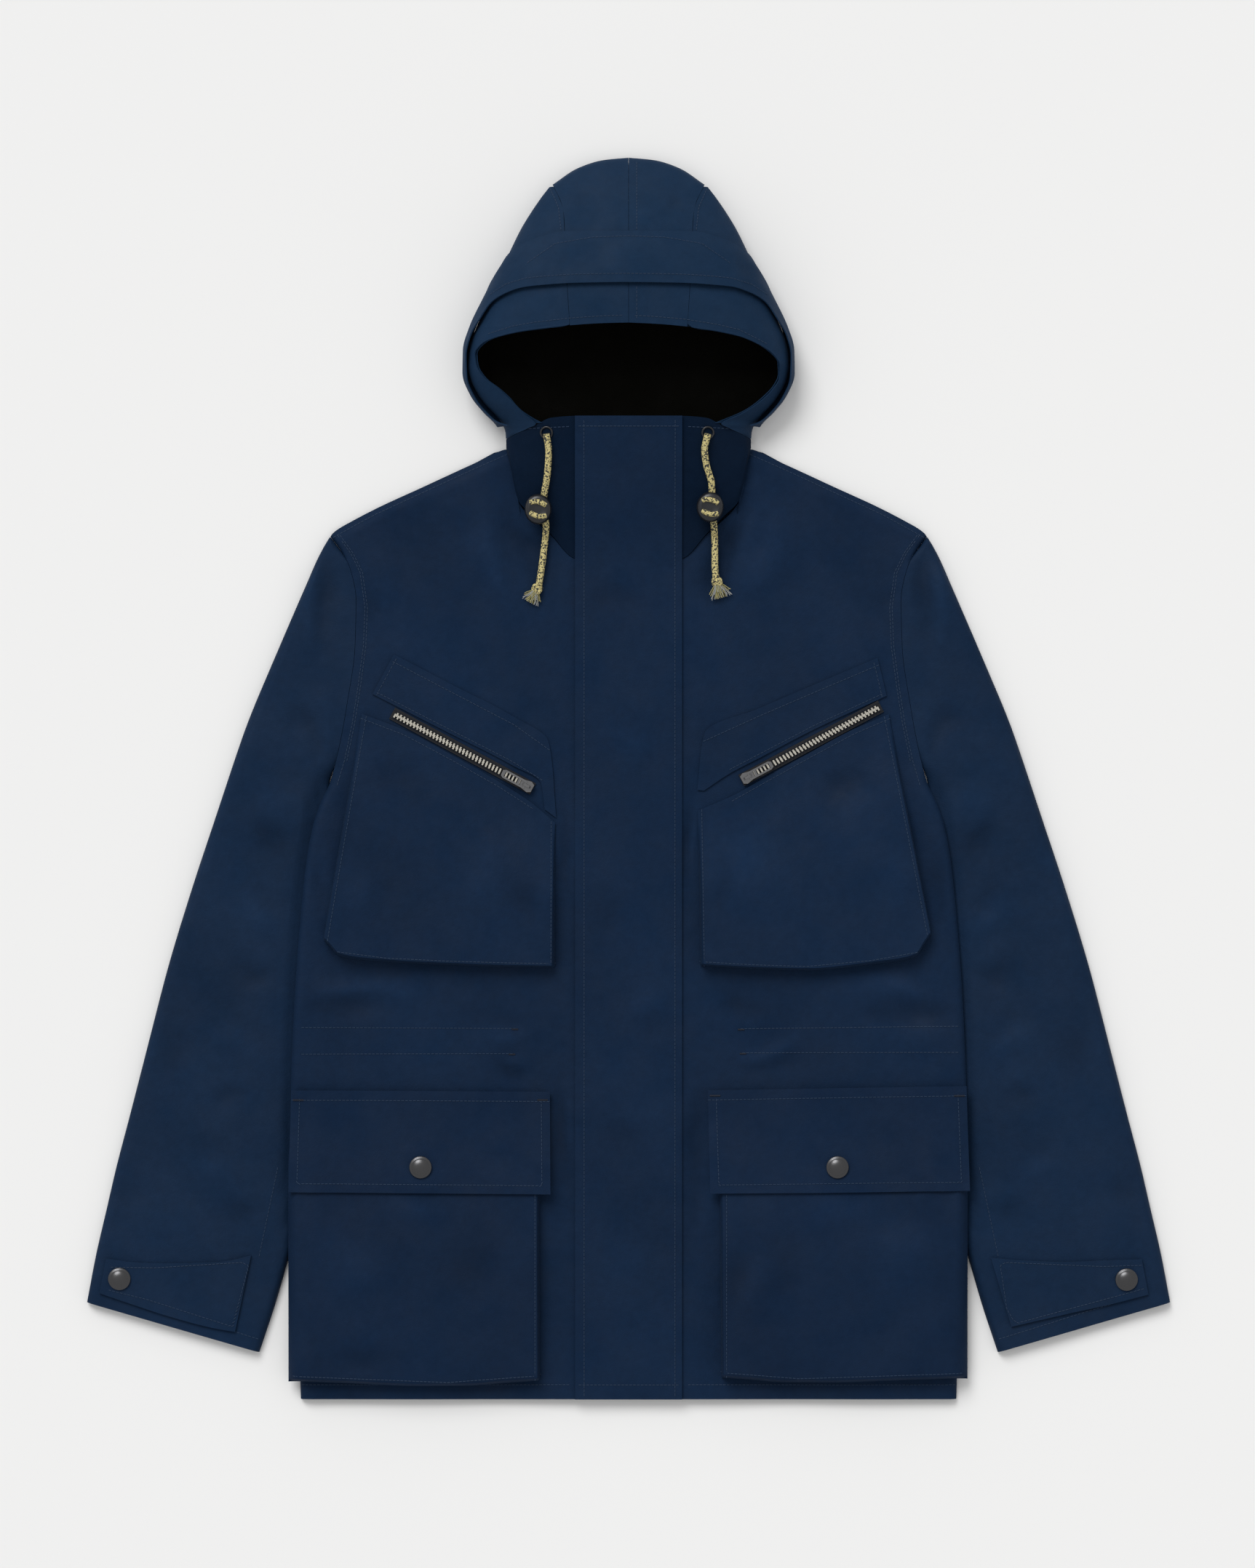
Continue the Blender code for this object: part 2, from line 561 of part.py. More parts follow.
CUFF_TAB_TOP = {
    "left": [PlanPoint(430.2, -395.7), PlanPoint(404.4, -399.1), PlanPoint(380.0, -399.7),
             PlanPoint(336.0, -398.5), PlanPoint(310.8, -393.3)],
    "right": [PlanPoint(422.4, -396.5), PlanPoint(395.0, -397.2), PlanPoint(359.2, -398.6),
              PlanPoint(326.0, -397.5), PlanPoint(298.2, -395.1)],
}
CUFF_TAB_FOOT = {
    "left": [PlanPoint(435.6, -424.5), PlanPoint(414.8, -431.6), PlanPoint(379.8, -443.1),
             PlanPoint(340.8, -453.4), PlanPoint(324.0, -456.3)],
    "right": [PlanPoint(428.0, -425.5), PlanPoint(396.0, -433.8), PlanPoint(365.0, -440.6),
              PlanPoint(336.0, -447.2), PlanPoint(315.0, -452.1)],
}
CUFF_SNAP = {"left": PlanPoint(419.1, -412.5), "right": PlanPoint(409.8, -413.1)}


def make_cuff_tab(side, label):
    grid = []
    for down in (0.0, 0.5, 1.0):
        line = []
        for a, b in zip(CUFF_TAB_TOP[label], CUFF_TAB_FOOT[label]):
            x, y = mix(a.x, b.x, down), mix(a.y, b.y, down)
            line.append((side * x, y, sleeve_surface(x, y) + LAYER_GAP + DOUBLE_CLOTH))
        grid.append(line)
    return wall("cuff_tab_" + label, grid, DOUBLE_CLOTH, side, navy())


# ---- hood ----------------------------------------------------------------

SIDE_ROWS = (279.4, 283.0, 287.0, 290.0, 298.0, 308.0, 318.0, 328.0, 338.0, 348.0, 354.0, 358.0,
             361.0, 364.0, 366.0, 368.0, 370.5, 385.0, 400.0, 418.0, 436.0, 452.0, 466.0, 478.0, 486.5)
SIDE_TURNS = (1.0, 0.72, 0.45, 0.2, 0.0, -0.45, -1.0)


def rim_of(side):
    return RIM_LEFT if side < 0 else RIM_RIGHT


def hood_start_x(side, y):
    """Where the hood's side begins on top: collar seam, rim or crown seam."""
    rim = rim_of(side)
    if y <= rim[-1].y:
        return read(COLLAR_TOP, "y", "x", y - SEAM_GAP)
    seam = read(CROWN_SEAM, "y", "half_width", y) + SEAM_GAP / 2.0
    return max(seam, read(rim, "y", "x", y)) if y < rim[0].y else seam


def make_hood_side(side, label):
    grid = []
    for y in SIDE_ROWS:
        start = hood_angle(hood_start_x(side, y), y)
        line = []
        for turn in SIDE_TURNS:
            angle = turn * start if turn > 0.0 else turn * 90.0
            line.append(hood_point(side, y, angle))
        seam_x = read(BACK_SEAM, "y", "half_width", y) + SEAM_GAP / 2.0
        line.append((side * min(seam_x, abs(line[-1].x) - 0.8), y, 0.0))
        grid.append(line)
    return wall("hood_side_" + label, grid, CLOTH, side, navy())


def crown_top(side, share, up):
    """Point on the crown strip over the hood: `share` out to its seam, `up` to the nose."""
    nose_x = share * CROWN_NOSE[-1].x
    nose_y = read(CROWN_NOSE, "x", "y", nose_x)
    rim_x = share * read(CROWN_SEAM, "y", "half_width", 371.0)
    rim_y = read(rim_of(side)[:4], "x", "y", rim_x)
    y = mix(rim_y, nose_y, up)
    seam = read(CROWN_SEAM, "y", "half_width", y) if up < 1.0 else CROWN_NOSE[-1].x
    x = max(share * (seam - SEAM_GAP / 2.0), SEAM_GAP / 2.0)
    widest = read(HOOD, "y", "half_width", y)
    return hood_point(side, y, hood_angle(min(x, widest), y))


BACK_TUCK = 1.5    # the crown's back lies this far inside the side's edge


def crown_back(side, share, down):
    nose_x = share * CROWN_NOSE[-1].x
    nose_y = read(CROWN_NOSE, "x", "y", nose_x)
    y = mix(nose_y - 8.0, HOOD_BACK_Y, down)
    seam = read(BACK_SEAM, "y", "half_width", y) - BACK_TUCK
    return (side * max(share * (seam - SEAM_GAP / 2.0), SEAM_GAP / 2.0), y, 0.0)


def make_hood_crown(side, label):
    shares = (0.0, 0.33, 0.66, 0.96)
    grid = [[crown_top(side, share, up) for share in shares]
            for up in (0.0, 0.15, 0.35, 0.55, 0.72, 0.85, 0.94, 0.985)]
    grid.append([(side * max(share * CROWN_NOSE[-1].x, SEAM_GAP / 2.0),
                  read(CROWN_NOSE, "x", "y", share * CROWN_NOSE[-1].x), 4.5) for share in shares])
    grid += [[crown_back(side, share, down) for share in shares] for down in (0.0, 0.3, 1.0)]
    return wall("hood_crown_" + label, grid, CLOTH, side, navy())


def make_storm_flap():
    stations = [(-1, row) for row in reversed(STORM_FLAP)] + [(1, row) for row in STORM_FLAP[1:]]
    grid = []
    for side, row in stations:
        line = []
        for out in (0.0, 0.35, 0.7, 1.0):
            y = mix(row.sewn_y, row.free_y, out)
            angle = mix(row.sewn_angle, row.free_angle, out)
            off = mix(row.sewn_off, row.free_off, out) + 1.2 * math.sin(math.pi * out)
            line.append(hood_point(side, y, angle, off))
        grid.append(line)
    return wall("hood_storm_flap", grid, CLOTH, 1, navy())


def make_rim_facing():
    stations = [(-1, row) for row in reversed(RIM_LEFT)] + [(1, row) for row in RIM_RIGHT[1:]]
    grid = []
    for side, row in stations:
        rim_angle = hood_angle(row.x, row.y)
        line = []
        for inward in (0.03, 0.5, 1.0):
            y = row.y + row.facing_dy * inward
            angle = rim_angle + row.facing_turn * inward
            line.append(hood_point(side, y, angle, -FACING_INSET))
        grid.append(line)
    return wall("hood_facing", grid, LINING_CLOTH, -1, navy())


FACING_INSET = 2.55     # from the outer face of the hood to the facing
LINING_INSET = 3.4     # and to the lining
LINING_START = [
    HeightRow(267.0, -80.0), HeightRow(284.0, -72.0),
    HeightRow(292.0, 8.0), HeightRow(302.0, 6.0), HeightRow(318.0, -6.0), HeightRow(338.0, -12.0),
    HeightRow(348.0, -14.0), HeightRow(356.0, -12.0), HeightRow(366.0, 4.0), HeightRow(374.0, 24.0),
    HeightRow(384.0, 44.0), HeightRow(398.0, 80.0), HeightRow(412.0, 86.0), HeightRow(500.0, 86.0),
]


def make_lining():
    grid = []
    for y in (267.0, 275.0, 284.0, 293.0, 305.0, 318.0, 334.0, 348.0,
              360.0, 372.0, 390.0, 412.0, 436.0, 458.0, 474.0):
        start = read(LINING_START, "y", "height", y)
        half = [mix(start, -90.0, t) for t in (0.0, 0.25, 0.5, 0.75, 1.0)]
        left = [hood_point(-1, y, angle, -LINING_INSET) for angle in half]
        right = [hood_point(1, y, angle, -LINING_INSET) for angle in reversed(half)]
        middle = (0.0, y, LINING_INSET)
        grid.append(left + [middle] + right)
    return wall("hood_lining", grid, LINING_CLOTH, -1, material("lining", LINING_OLIVE, 0.6))


# ---- pockets -------------------------------------------------------------

PocketPlan = namedtuple("PocketPlan", "top foot")

# Bellows bags of the chest pockets: the zip's lower seam and the bag's foot,
# from the garment's side towards its middle.
CHEST_BAG = {
    "left": PocketPlan(
        [PlanPoint(219.4, 52.8), PlanPoint(185.0, 39.6), PlanPoint(146.0, 19.0), PlanPoint(108.0, -2.5),
         PlanPoint(80.0, -20.5), PlanPoint(60.5, -37.0)],
        [PlanPoint(251.0, -133.0), PlanPoint(238.0, -146.5), PlanPoint(200.0, -151.5),
         PlanPoint(150.0, -154.0), PlanPoint(100.0, -155.5), PlanPoint(60.5, -156.0)]),
    "right": PocketPlan(
        [PlanPoint(214.0, 52.5), PlanPoint(185.0, 40.0), PlanPoint(146.0, 19.0), PlanPoint(110.0, -1.0),
         PlanPoint(86.0, -14.5), PlanPoint(57.0, -27.0)],
        [PlanPoint(249.0, -128.0), PlanPoint(236.0, -147.0), PlanPoint(200.0, -153.5),
         PlanPoint(146.0, -158.5), PlanPoint(100.0, -157.0), PlanPoint(59.0, -154.5)]),
}
# Yoke strips above the zips: upper edge and the edge along the zip.
CHEST_YOKE = {
    "left": PocketPlan(
        [PlanPoint(193.2, 101.7), PlanPoint(143.7, 75.9), PlanPoint(94.2, 50.1), PlanPoint(66.0, 30.0),
         PlanPoint(59.5, -33.0)],
        [PlanPoint(210.9, 69.0), PlanPoint(150.0, 38.0), PlanPoint(96.0, 10.4), PlanPoint(72.0, -4.6),
         PlanPoint(69.0, -26.0)]),
    "right": PocketPlan(
        [PlanPoint(204.9, 98.9), PlanPoint(158.0, 79.0), PlanPoint(108.0, 57.5), PlanPoint(62.5, 36.9),
         PlanPoint(56.5, -10.0)],
        [PlanPoint(212.4, 67.5), PlanPoint(152.0, 39.5), PlanPoint(108.0, 16.5), PlanPoint(84.0, 4.0),
         PlanPoint(62.0, -10.5)]),
}
# Middle line of each zip: its outer stop and where the slider stands.
ZIP_LINE = {
    "left": (PlanPoint(192.0, 51.8), PlanPoint(84.0, -6.4)),
    "right": (PlanPoint(205.0, 57.6), PlanPoint(98.0, 0.6)),
}
ZIP_TAPE_HALF = 5.2
ZIP_TAPE_THICKNESS = 1.0
ZIP_CHAIN_HALF = 2.6
ZIP_CHAIN_HEIGHT = 2.2
BAG_FOOT_GAP = 1.9         # from the front to the outer face of a bag at its foot
CHEST_SEAM_HEIGHT = 2.6    # the bag's face over the front, along the zip
CHEST_BAG_HEIGHT = 14.0    # and along its foot

LOWER_TOP_Y = -262.0
FLAP_GAP = 1.2             # between a pocket flap and its bag
LOWER_SEAM_HEIGHT = 2.6
LOWER_BAG_HEIGHT = 14.0
LOWER_BAG = {
    "left": PocketPlan([PlanPoint(275.0, -262.0), PlanPoint(180.0, -262.0), PlanPoint(72.9, -262.0)],
                       [PlanPoint(275.0, -497.1), PlanPoint(148.2, -502.0), PlanPoint(72.9, -496.5)]),
    "right": PocketPlan([PlanPoint(274.0, -262.0), PlanPoint(180.0, -262.0), PlanPoint(73.8, -262.0)],
                        [PlanPoint(273.0, -494.7), PlanPoint(140.0, -499.0), PlanPoint(76.5, -494.0)]),
}
LOWER_BULGE = {"left": 280.0, "right": 279.0}   # how far out the bellows bulges past the body
POCKET_FLAP = {
    "left": PocketPlan([PlanPoint(277.5, -257.1), PlanPoint(170.0, -257.7), PlanPoint(64.8, -258.3)],
                       [PlanPoint(279.4, -340.5), PlanPoint(170.0, -341.5), PlanPoint(64.2, -342.3)]),
    "right": PocketPlan([PlanPoint(277.8, -253.5), PlanPoint(170.0, -255.4), PlanPoint(65.1, -257.1)],
                        [PlanPoint(280.4, -339.3), PlanPoint(170.0, -341.0), PlanPoint(67.2, -341.7)]),
}
POCKET_SNAP = {"left": PlanPoint(171.0, -320.1), "right": PlanPoint(171.6, -320.1)}
SNAP_RADIUS = 9.2
SNAP_HEIGHT = 4.2


def along_points(points, share):
    """Point at a share of the way along a short row of plan points."""
    place = share * (len(points) - 1)
    i = min(int(place), len(points) - 2)
    t = place - i
    return mix(points[i].x, points[i + 1].x, t), mix(points[i].y, points[i + 1].y, t)


def plan_between(plan, across, down):
    top = along_points(plan.top, across)
    foot = along_points(plan.foot, across)
    return mix(top[0], foot[0], down), mix(top[1], foot[1], down)


def bag_rise(down, seam_height, full_height):
    return mix(seam_height, full_height, smooth_step(down / 0.55))


def bag_grid(side, plan, seam_height, full_height, bulge=None):
    """Face and gussets of a bellows bag, standing on the front."""
    across_stations = (0.0, 0.014, 0.08, 0.2, 0.4, 0.6, 0.8, 0.986, 1.0)
    down_stations = (0.0, 0.08, 0.16, 0.25, 0.35, 0.55, 0.8, 0.986, 1.0)
    grid = []
    for down in down_stations:
        line = []
        for across in across_stations:
            x, y = plan_between(plan, across, down)
            on_foot = across in (0.0, 1.0) or down == 1.0
            rise = bag_rise(down, seam_height, full_height)
            if across == 0.0 and bulge:
                opened = smooth_step(down / 0.25)
                rise *= mix(1.0, 0.3, opened)
                x = mix(x, bulge, opened)
            elif on_foot and down > 0.0:
                rise = BAG_FOOT_GAP
            line.append((side * x, y, top_height(min(x, body_half(y) - 2.0), y) + rise))
        if bulge:
            y = line[0][1]
            opened = smooth_step(down / 0.25)
            foot_x = mix(plan.top[0].x + 1.8, body_half(y) - 1.5, opened)
            lift = mix(seam_height - 0.7, BAG_FOOT_GAP, opened)
            line.insert(0, (side * foot_x, y, front_height(min(foot_x, body_half(y) - 1.5), y) + lift))
        grid.append(line)
    return grid


def make_chest_bag(side, label):
    grid = bag_grid(side, CHEST_BAG[label], CHEST_SEAM_HEIGHT, CHEST_BAG_HEIGHT)
    return wall("chest_bag_" + label, grid, CLOTH, side, navy())


def make_chest_yoke(side, label):
    grid = []
    for down in (0.0, 0.5, 1.0):
        line = []
        for across in (0.0, 0.25, 0.5, 0.75, 1.0):
            x, y = plan_between(CHEST_YOKE[label], across, down)
            line.append((side * x, y, top_height(x, y) + LAYER_GAP + CLOTH))
        grid.append(line)
    return wall("chest_yoke_" + label, grid, CLOTH, side, navy())


def zip_frame(label):
    """Outer stop, inward direction and length of a zip, in plan."""
    outer, inner = ZIP_LINE[label]
    reach = Vector((inner.x - outer.x, inner.y - outer.y, 0.0))
    return Vector((outer.x, outer.y, 0.0)), reach.normalized(), reach.length


def zip_strip(name, side, label, half_width, low, thickness, start, end, finish):
    outer, ahead, length = zip_frame(label)
    sideways = Vector((-ahead.y, ahead.x, 0.0))
    grid = []
    for share in (0.0, 0.33, 0.67, 1.0):
        line = []
        for half in (-half_width, half_width):
            place = outer + ahead * mix(start, length + end, share) + sideways * half
            z = top_height(place.x, place.y) + low + thickness
            line.append((side * place.x, place.y, z))
        grid.append(line)
    return wall(name, grid, thickness, -side, finish)


def make_zip(side, label):
    tape = material("zip_tape", TAPE_BLACK, 0.85)
    teeth = material("zip_teeth", SILVER, 0.35, 1.0)
    zip_strip("zip_tape_" + label, side, label, ZIP_TAPE_HALF, LAYER_GAP, ZIP_TAPE_THICKNESS,
              -3.0, 6.0, tape)
    zip_strip("zip_chain_" + label, side, label, ZIP_CHAIN_HALF, LAYER_GAP + ZIP_TAPE_THICKNESS + 0.3,
              ZIP_CHAIN_HEIGHT, 0.0, -6.0, teeth)


def make_lower_bag(side, label):
    grid = bag_grid(side, LOWER_BAG[label], LOWER_SEAM_HEIGHT, LOWER_BAG_HEIGHT, LOWER_BULGE[label])
    return wall("lower_bag_" + label, grid, CLOTH, side, navy())


def flap_height(label, x, y):
    """Upper face of a pocket flap over the bag that it covers."""
    foot_y = LOWER_BAG[label].foot[1].y
    down = (y - LOWER_TOP_Y) / (foot_y - LOWER_TOP_Y)
    rise = bag_rise(down, LOWER_SEAM_HEIGHT, LOWER_BAG_HEIGHT)
    return top_height(min(x, body_half(y) - 2.0), y) + rise + FLAP_GAP + DOUBLE_CLOTH


def make_pocket_flap(side, label):
    grid = []
    for down in (0.0, 0.2, 0.4, 0.6, 0.8, 1.0):
        line = []
        for across in (0.0, 0.03, 0.08, 0.2, 0.4, 0.6, 0.8, 0.93, 1.0):
            x, y = plan_between(POCKET_FLAP[label], across, down)
            line.append((side * x, y, flap_height(label, x, y)))
        grid.append(line)
    return wall("pocket_flap_" + label, grid, DOUBLE_CLOTH, side, navy())


def turned(name, profile, centre, finish, steps=14):
    """Body turned round a vertical axis from (radius, height) pairs, its ends closed."""
    points = []
    for radius, height in profile:
        for step in range(steps):
            angle = 2.0 * math.pi * step / steps
            points.append((centre[0] + radius * math.cos(angle), centre[1] + radius * math.sin(angle),
                           centre[2] + height))
    faces = []
    for ring in range(len(profile) - 1):
        for step in range(steps):
            a = ring * steps + step
            b = ring * steps + (step + 1) % steps
            faces.append((a, b, b + steps, a + steps))
    faces.append(tuple(reversed(range(steps))))
    faces.append(tuple(range((len(profile) - 1) * steps, len(profile) * steps)))
    return mesh_object(name, points, faces, finish)


def make_snap(name, side, place, under_height):
    gunmetal = material("gunmetal", GUNMETAL, 0.3, 1.0)
    profile = [(SNAP_RADIUS - 0.8, 0.0), (SNAP_RADIUS, 0.9), (SNAP_RADIUS * 0.86, 2.4),
               (SNAP_RADIUS * 0.5, SNAP_HEIGHT - 0.5), (SNAP_RADIUS * 0.15, SNAP_HEIGHT)]
    return turned(name, profile, (side * place.x, place.y, under_height), gunmetal)


def make_snaps(side, label):
    place = POCKET_SNAP[label]
    reach = SNAP_RADIUS + 1.0
    seat = max(flap_height(label, place.x, place.y + step) for step in (-reach, 0.0, reach))
    make_snap("pocket_snap_" + label, side, place, seat + SEAM_GAP)
    place = CUFF_SNAP[label]
    seat = sleeve_surface(place.x, place.y) + LAYER_GAP + DOUBLE_CLOTH
    make_snap("cuff_snap_" + label, side, place, seat + 2.0 * SEAM_GAP)


# ---- zip sliders, pull tabs and drawcords --------------------------------

SLIDER_LENGTH = 11.0
SLIDER_NOSE_WIDTH = 9.6
SLIDER_TAIL_WIDTH = 6.4
SLIDER_HEIGHT = 3.6
BRIDGE_LENGTH = 7.2
BRIDGE_WIDTH = 2.0
BRIDGE_THICKNESS = 1.0
BRIDGE_INSIDE = 2.4
TAB_LENGTH = 22.0
TAB_WIDTH = 7.2
TAB_THICKNESS = 1.4
TAB_BAR = 1.2
TAB_CLEAR = 0.6            # from the slider's top to the tab's crossbar
SLIDER_RAISE = 0.3

CORD_DIAMETER = 5.5
CORD_LIE = 0.45            # kept under a cord


def box(name, lows, highs, finish=None):
    """Block between two corners."""
    x0, y0, z0 = lows
    x1, y1, z1 = highs
    points = [(x0, y0, z0), (x1, y0, z0), (x1, y1, z0), (x0, y1, z0),
              (x0, y0, z1), (x1, y0, z1), (x1, y1, z1), (x0, y1, z1)]
    faces = [(3, 2, 1, 0), (4, 5, 6, 7), (0, 1, 5, 4), (1, 2, 6, 5), (2, 3, 7, 6), (3, 0, 4, 7)]
    return mesh_object(name, points, faces, finish, smooth=False)


def slider_frame(side, label):
    """Where the slider's middle stands, on its zip, and the way its nose looks."""
    outer, ahead, length = zip_frame(label)
    middle = outer + ahead * length
    base = LAYER_GAP + ZIP_TAPE_THICKNESS + SLIDER_RAISE
    z = top_height(middle.x, middle.y) + base
    nose = Vector((side * ahead.x, ahead.y, 0.0))
    tail = outer + ahead * (length - 14.0)
    slope = (z - base - top_height(tail.x, tail.y)) / 14.0
    return Vector((side * middle.x, middle.y, z)), nose, slope


def placed(points, origin, ahead, tilt=0.0):
    """Points given along (ahead, across, up), turned to a place on the garment."""
    across = Vector((-ahead.y, ahead.x, 0.0))
    long_way = (ahead + Vector((0.0, 0.0, math.tan(tilt)))).normalized()
    up = long_way.cross(across)
    return [origin + long_way * p[0] + across * p[1] + up * p[2] for p in points]


def prism(name, outline, low, high, origin, ahead, tilt, finish, holes=()):
    """Plate with an outline given as (ahead, across), cut through by holes of four corners."""
    count = len(outline)
    points = [(p[0], p[1], low) for p in outline] + [(p[0], p[1], high) for p in outline]
    faces = [tuple(reversed(range(count))), tuple(range(count, 2 * count))]
    for i in range(count):
        j = (i + 1) % count
        faces.append((i, j, j + count, i + count))
    body = mesh_object(name, placed(points, origin, ahead, tilt), faces, finish, smooth=False)
    for number, hole in enumerate(holes):
        x0, x1, half = hole
        corners = [(x0, -half), (x1, -half), (x1, half), (x0, half)]
        blank = [(c[0], c[1], low - 1.0) for c in corners] + [(c[0], c[1], high + 1.0) for c in corners]
        sides = [(3, 2, 1, 0), (4, 5, 6, 7), (0, 1, 5, 4), (1, 2, 6, 5), (2, 3, 7, 6), (3, 0, 4, 7)]
        cutter = mesh_object(name + "_slot_%d" % number, placed(blank, origin, ahead, tilt), sides, None,
                             smooth=False)
        cutter.hide_render = True
        cutter.display_type = "WIRE"
        cut = body.modifiers.new("slot_%d" % number, "BOOLEAN")
        cut.operation = "DIFFERENCE"
        cut.solver = "EXACT"
        cut.object = cutter
    return body


def make_slider(side, label):
    """Wedge-shaped slider with the bridge that its pull tab hangs on, one body."""
    gunmetal = material("gunmetal", GUNMETAL, 0.3, 1.0)
    origin, nose, slope = slider_frame(side, label)
    tilt = math.atan(slope)
    half = SLIDER_LENGTH / 2.0
    foot = (BRIDGE_LENGTH - BRIDGE_THICKNESS) / 2.0
    wide = BRIDGE_WIDTH / 2.0
    top = SLIDER_HEIGHT
    outline = [(-half, SLIDER_TAIL_WIDTH / 2.0), (-half, -SLIDER_TAIL_WIDTH / 2.0),
               (half - 3.0, -SLIDER_NOSE_WIDTH / 2.0), (half, -SLIDER_NOSE_WIDTH / 2.0 + 1.6),
               (half, SLIDER_NOSE_WIDTH / 2.0 - 1.6), (half - 3.0, SLIDER_NOSE_WIDTH / 2.0)]
    slider = prism("slider_" + label, outline, 0.0, top, origin, nose, tilt, gunmetal)
    outer = BRIDGE_LENGTH / 2.0
    inner = outer - BRIDGE_THICKNESS
    high = top + BRIDGE_INSIDE + BRIDGE_THICKNESS
    arch = [(-outer, top - 0.6), (-inner, top - 0.6), (-inner, top + BRIDGE_INSIDE - 0.5),
            (-inner + 0.5, top + BRIDGE_INSIDE), (inner - 0.5, top + BRIDGE_INSIDE),
            (inner, top + BRIDGE_INSIDE - 0.5), (inner, top - 0.6), (outer, top - 0.6),
            (outer, high - 1.1), (outer - 1.1, high), (-outer + 1.1, high), (-outer, high - 1.1)]
    count = len(arch)
    points = [(p[0], -wide, p[1]) for p in arch] + [(p[0], wide, p[1]) for p in arch]
    faces = [tuple(range(count)), tuple(reversed(range(count, 2 * count)))]
    for i in range(count):
        j = (i + 1) % count
        faces.append((j, i, i + count, j + count))
    bridge = mesh_object("slider_bridge_" + label, placed(points, origin, nose, tilt), faces, gunmetal,
                         smooth=False)
    bridge.hide_render = True
    bridge.display_type = "WIRE"
    join = slider.modifiers.new("bridge", "BOOLEAN")
    join.operation = "UNION"
    join.solver = "EXACT"
    join.object = bridge
    return slider


def tab_axis(side, label):
    """Hinge point of a pull tab and the way its far end points when it rests."""
    origin, nose, slope = slider_frame(side, label)
    bar_up = SLIDER_HEIGHT + TAB_CLEAR + TAB_BAR / 2.0
    back = BRIDGE_LENGTH / 2.0 - BRIDGE_THICKNESS - TAB_BAR
    hinge = placed([(-back, 0.0, bar_up)], origin, nose, math.atan(slope))[0]
    return hinge, -nose, slope


def make_pull_tab(side, label):
    """Slotted tab whose crossbar runs under the slider's bridge."""
    gunmetal = material("gunmetal", GUNMETAL, 0.3, 1.0)
    hinge, away, slope = tab_axis(side, label)
    tilt = -math.atan(slope) - math.radians(2.0)
    near = -TAB_BAR / 2.0
    far = near + TAB_LENGTH
    wide = TAB_WIDTH / 2.0
    low = -TAB_BAR / 2.0
    outline = [(near, -wide + 0.8), (near + 0.8, -wide), (far - 2.4, -wide), (far - 0.7, -wide + 0.9),
               (far, -wide + 2.4), (far, wide - 2.4), (far - 0.7, wide - 0.9), (far - 2.4, wide),
               (near + 0.8, wide), (near, wide - 0.8)]
    rail = 1.5
    holes = ((near + TAB_BAR, near + TAB_BAR + 4.4, wide - rail),
             (near + TAB_BAR + 6.2, far - 2.6, wide - rail))
    body = prism("pull_tab_" + label, outline, low, low + TAB_THICKNESS, Vector((0.0, 0.0, 0.0)), away, tilt,
                 gunmetal, holes)
    body.location = hinge * MM
    for hole in range(len(holes)):
        bpy.data.objects["pull_tab_%s_slot_%d" % (label, hole)].location = hinge * MM
    return body


# Drawcords: hand-chosen route of each cord's middle, from the eyelet in the hood's
# rim to the knot; it lies on whatever is below it.
CORD_ROUTE = {
    "left": [PlanPoint(-67.4, 282.0), PlanPoint(-65.7, 269.1), PlanPoint(-66.7, 248.9),
             PlanPoint(-69.4, 232.5), PlanPoint(-70.6, 220.6), PlanPoint(-67.9, 208.5),
             PlanPoint(-69.6, 188.1), PlanPoint(-72.0, 170.0), PlanPoint(-73.8, 158.5)],
    "right": [PlanPoint(65.0, 282.0), PlanPoint(62.4, 270.0), PlanPoint(63.9, 256.5),
              PlanPoint(67.7, 243.9), PlanPoint(68.4, 234.9), PlanPoint(67.6, 222.3),
              PlanPoint(69.8, 210.9), PlanPoint(71.0, 193.5), PlanPoint(71.0, 175.0),
              PlanPoint(71.8, 164.5)],
}
STOPPER_PLACE = {"left": PlanPoint(-74.3, 220.6), "right": PlanPoint(66.9, 222.3)}
STOPPER_HALF_LENGTH = 12.6
STOPPER_HALF_WIDTH = 11.2
STOPPER_HEIGHT = 10.5


def over_height(x, y):
    return top_height(abs(x), y)


def cord_line(side, label, first, last):
    """Evenly spaced points on the smooth curve through part of a cord's route."""
    route = CORD_ROUTE[label]
    reach = [0.0]
    for a, b in zip(route, route[1:]):
        reach.append(reach[-1] + math.hypot(b.x - a.x, b.y - a.y))
    rows_x = [PlanPoint(s, p.x) for s, p in zip(reach, route)]
    rows_y = [PlanPoint(s, p.y) for s, p in zip(reach, route)]
    start = first * reach[-1]
    stop = last * reach[-1]
    count = max(3, int(round((stop - start) / (2.4 * CORD_DIAMETER))))
    line = []
    for i in range(count + 1):
        s = mix(start, stop, i / count)
        x = read(rows_x, "x", "y", s)
        y = read(rows_y, "x", "y", s)
        rest = max(over_height(x + dx, y + dy) for dx in (-2.0, 0.0, 2.0) for dy in (-4.0, 0.0, 4.0))
        line.append((x, y, rest + CORD_LIE + CORD_DIAMETER / 2.0))
    return line, reach[-1]


def share_at(label, y):
    """Share of a cord's length at which its route passes a height on the garment."""
    route = CORD_ROUTE[label]
    reach = [0.0]
    for a, b in zip(route, route[1:]):
        reach.append(reach[-1] + math.hypot(b.x - a.x, b.y - a.y))
    rows = [PlanPoint(-p.y, s / reach[-1]) for s, p in zip(reach, route)]
    return read(rows, "x", "y", -y)


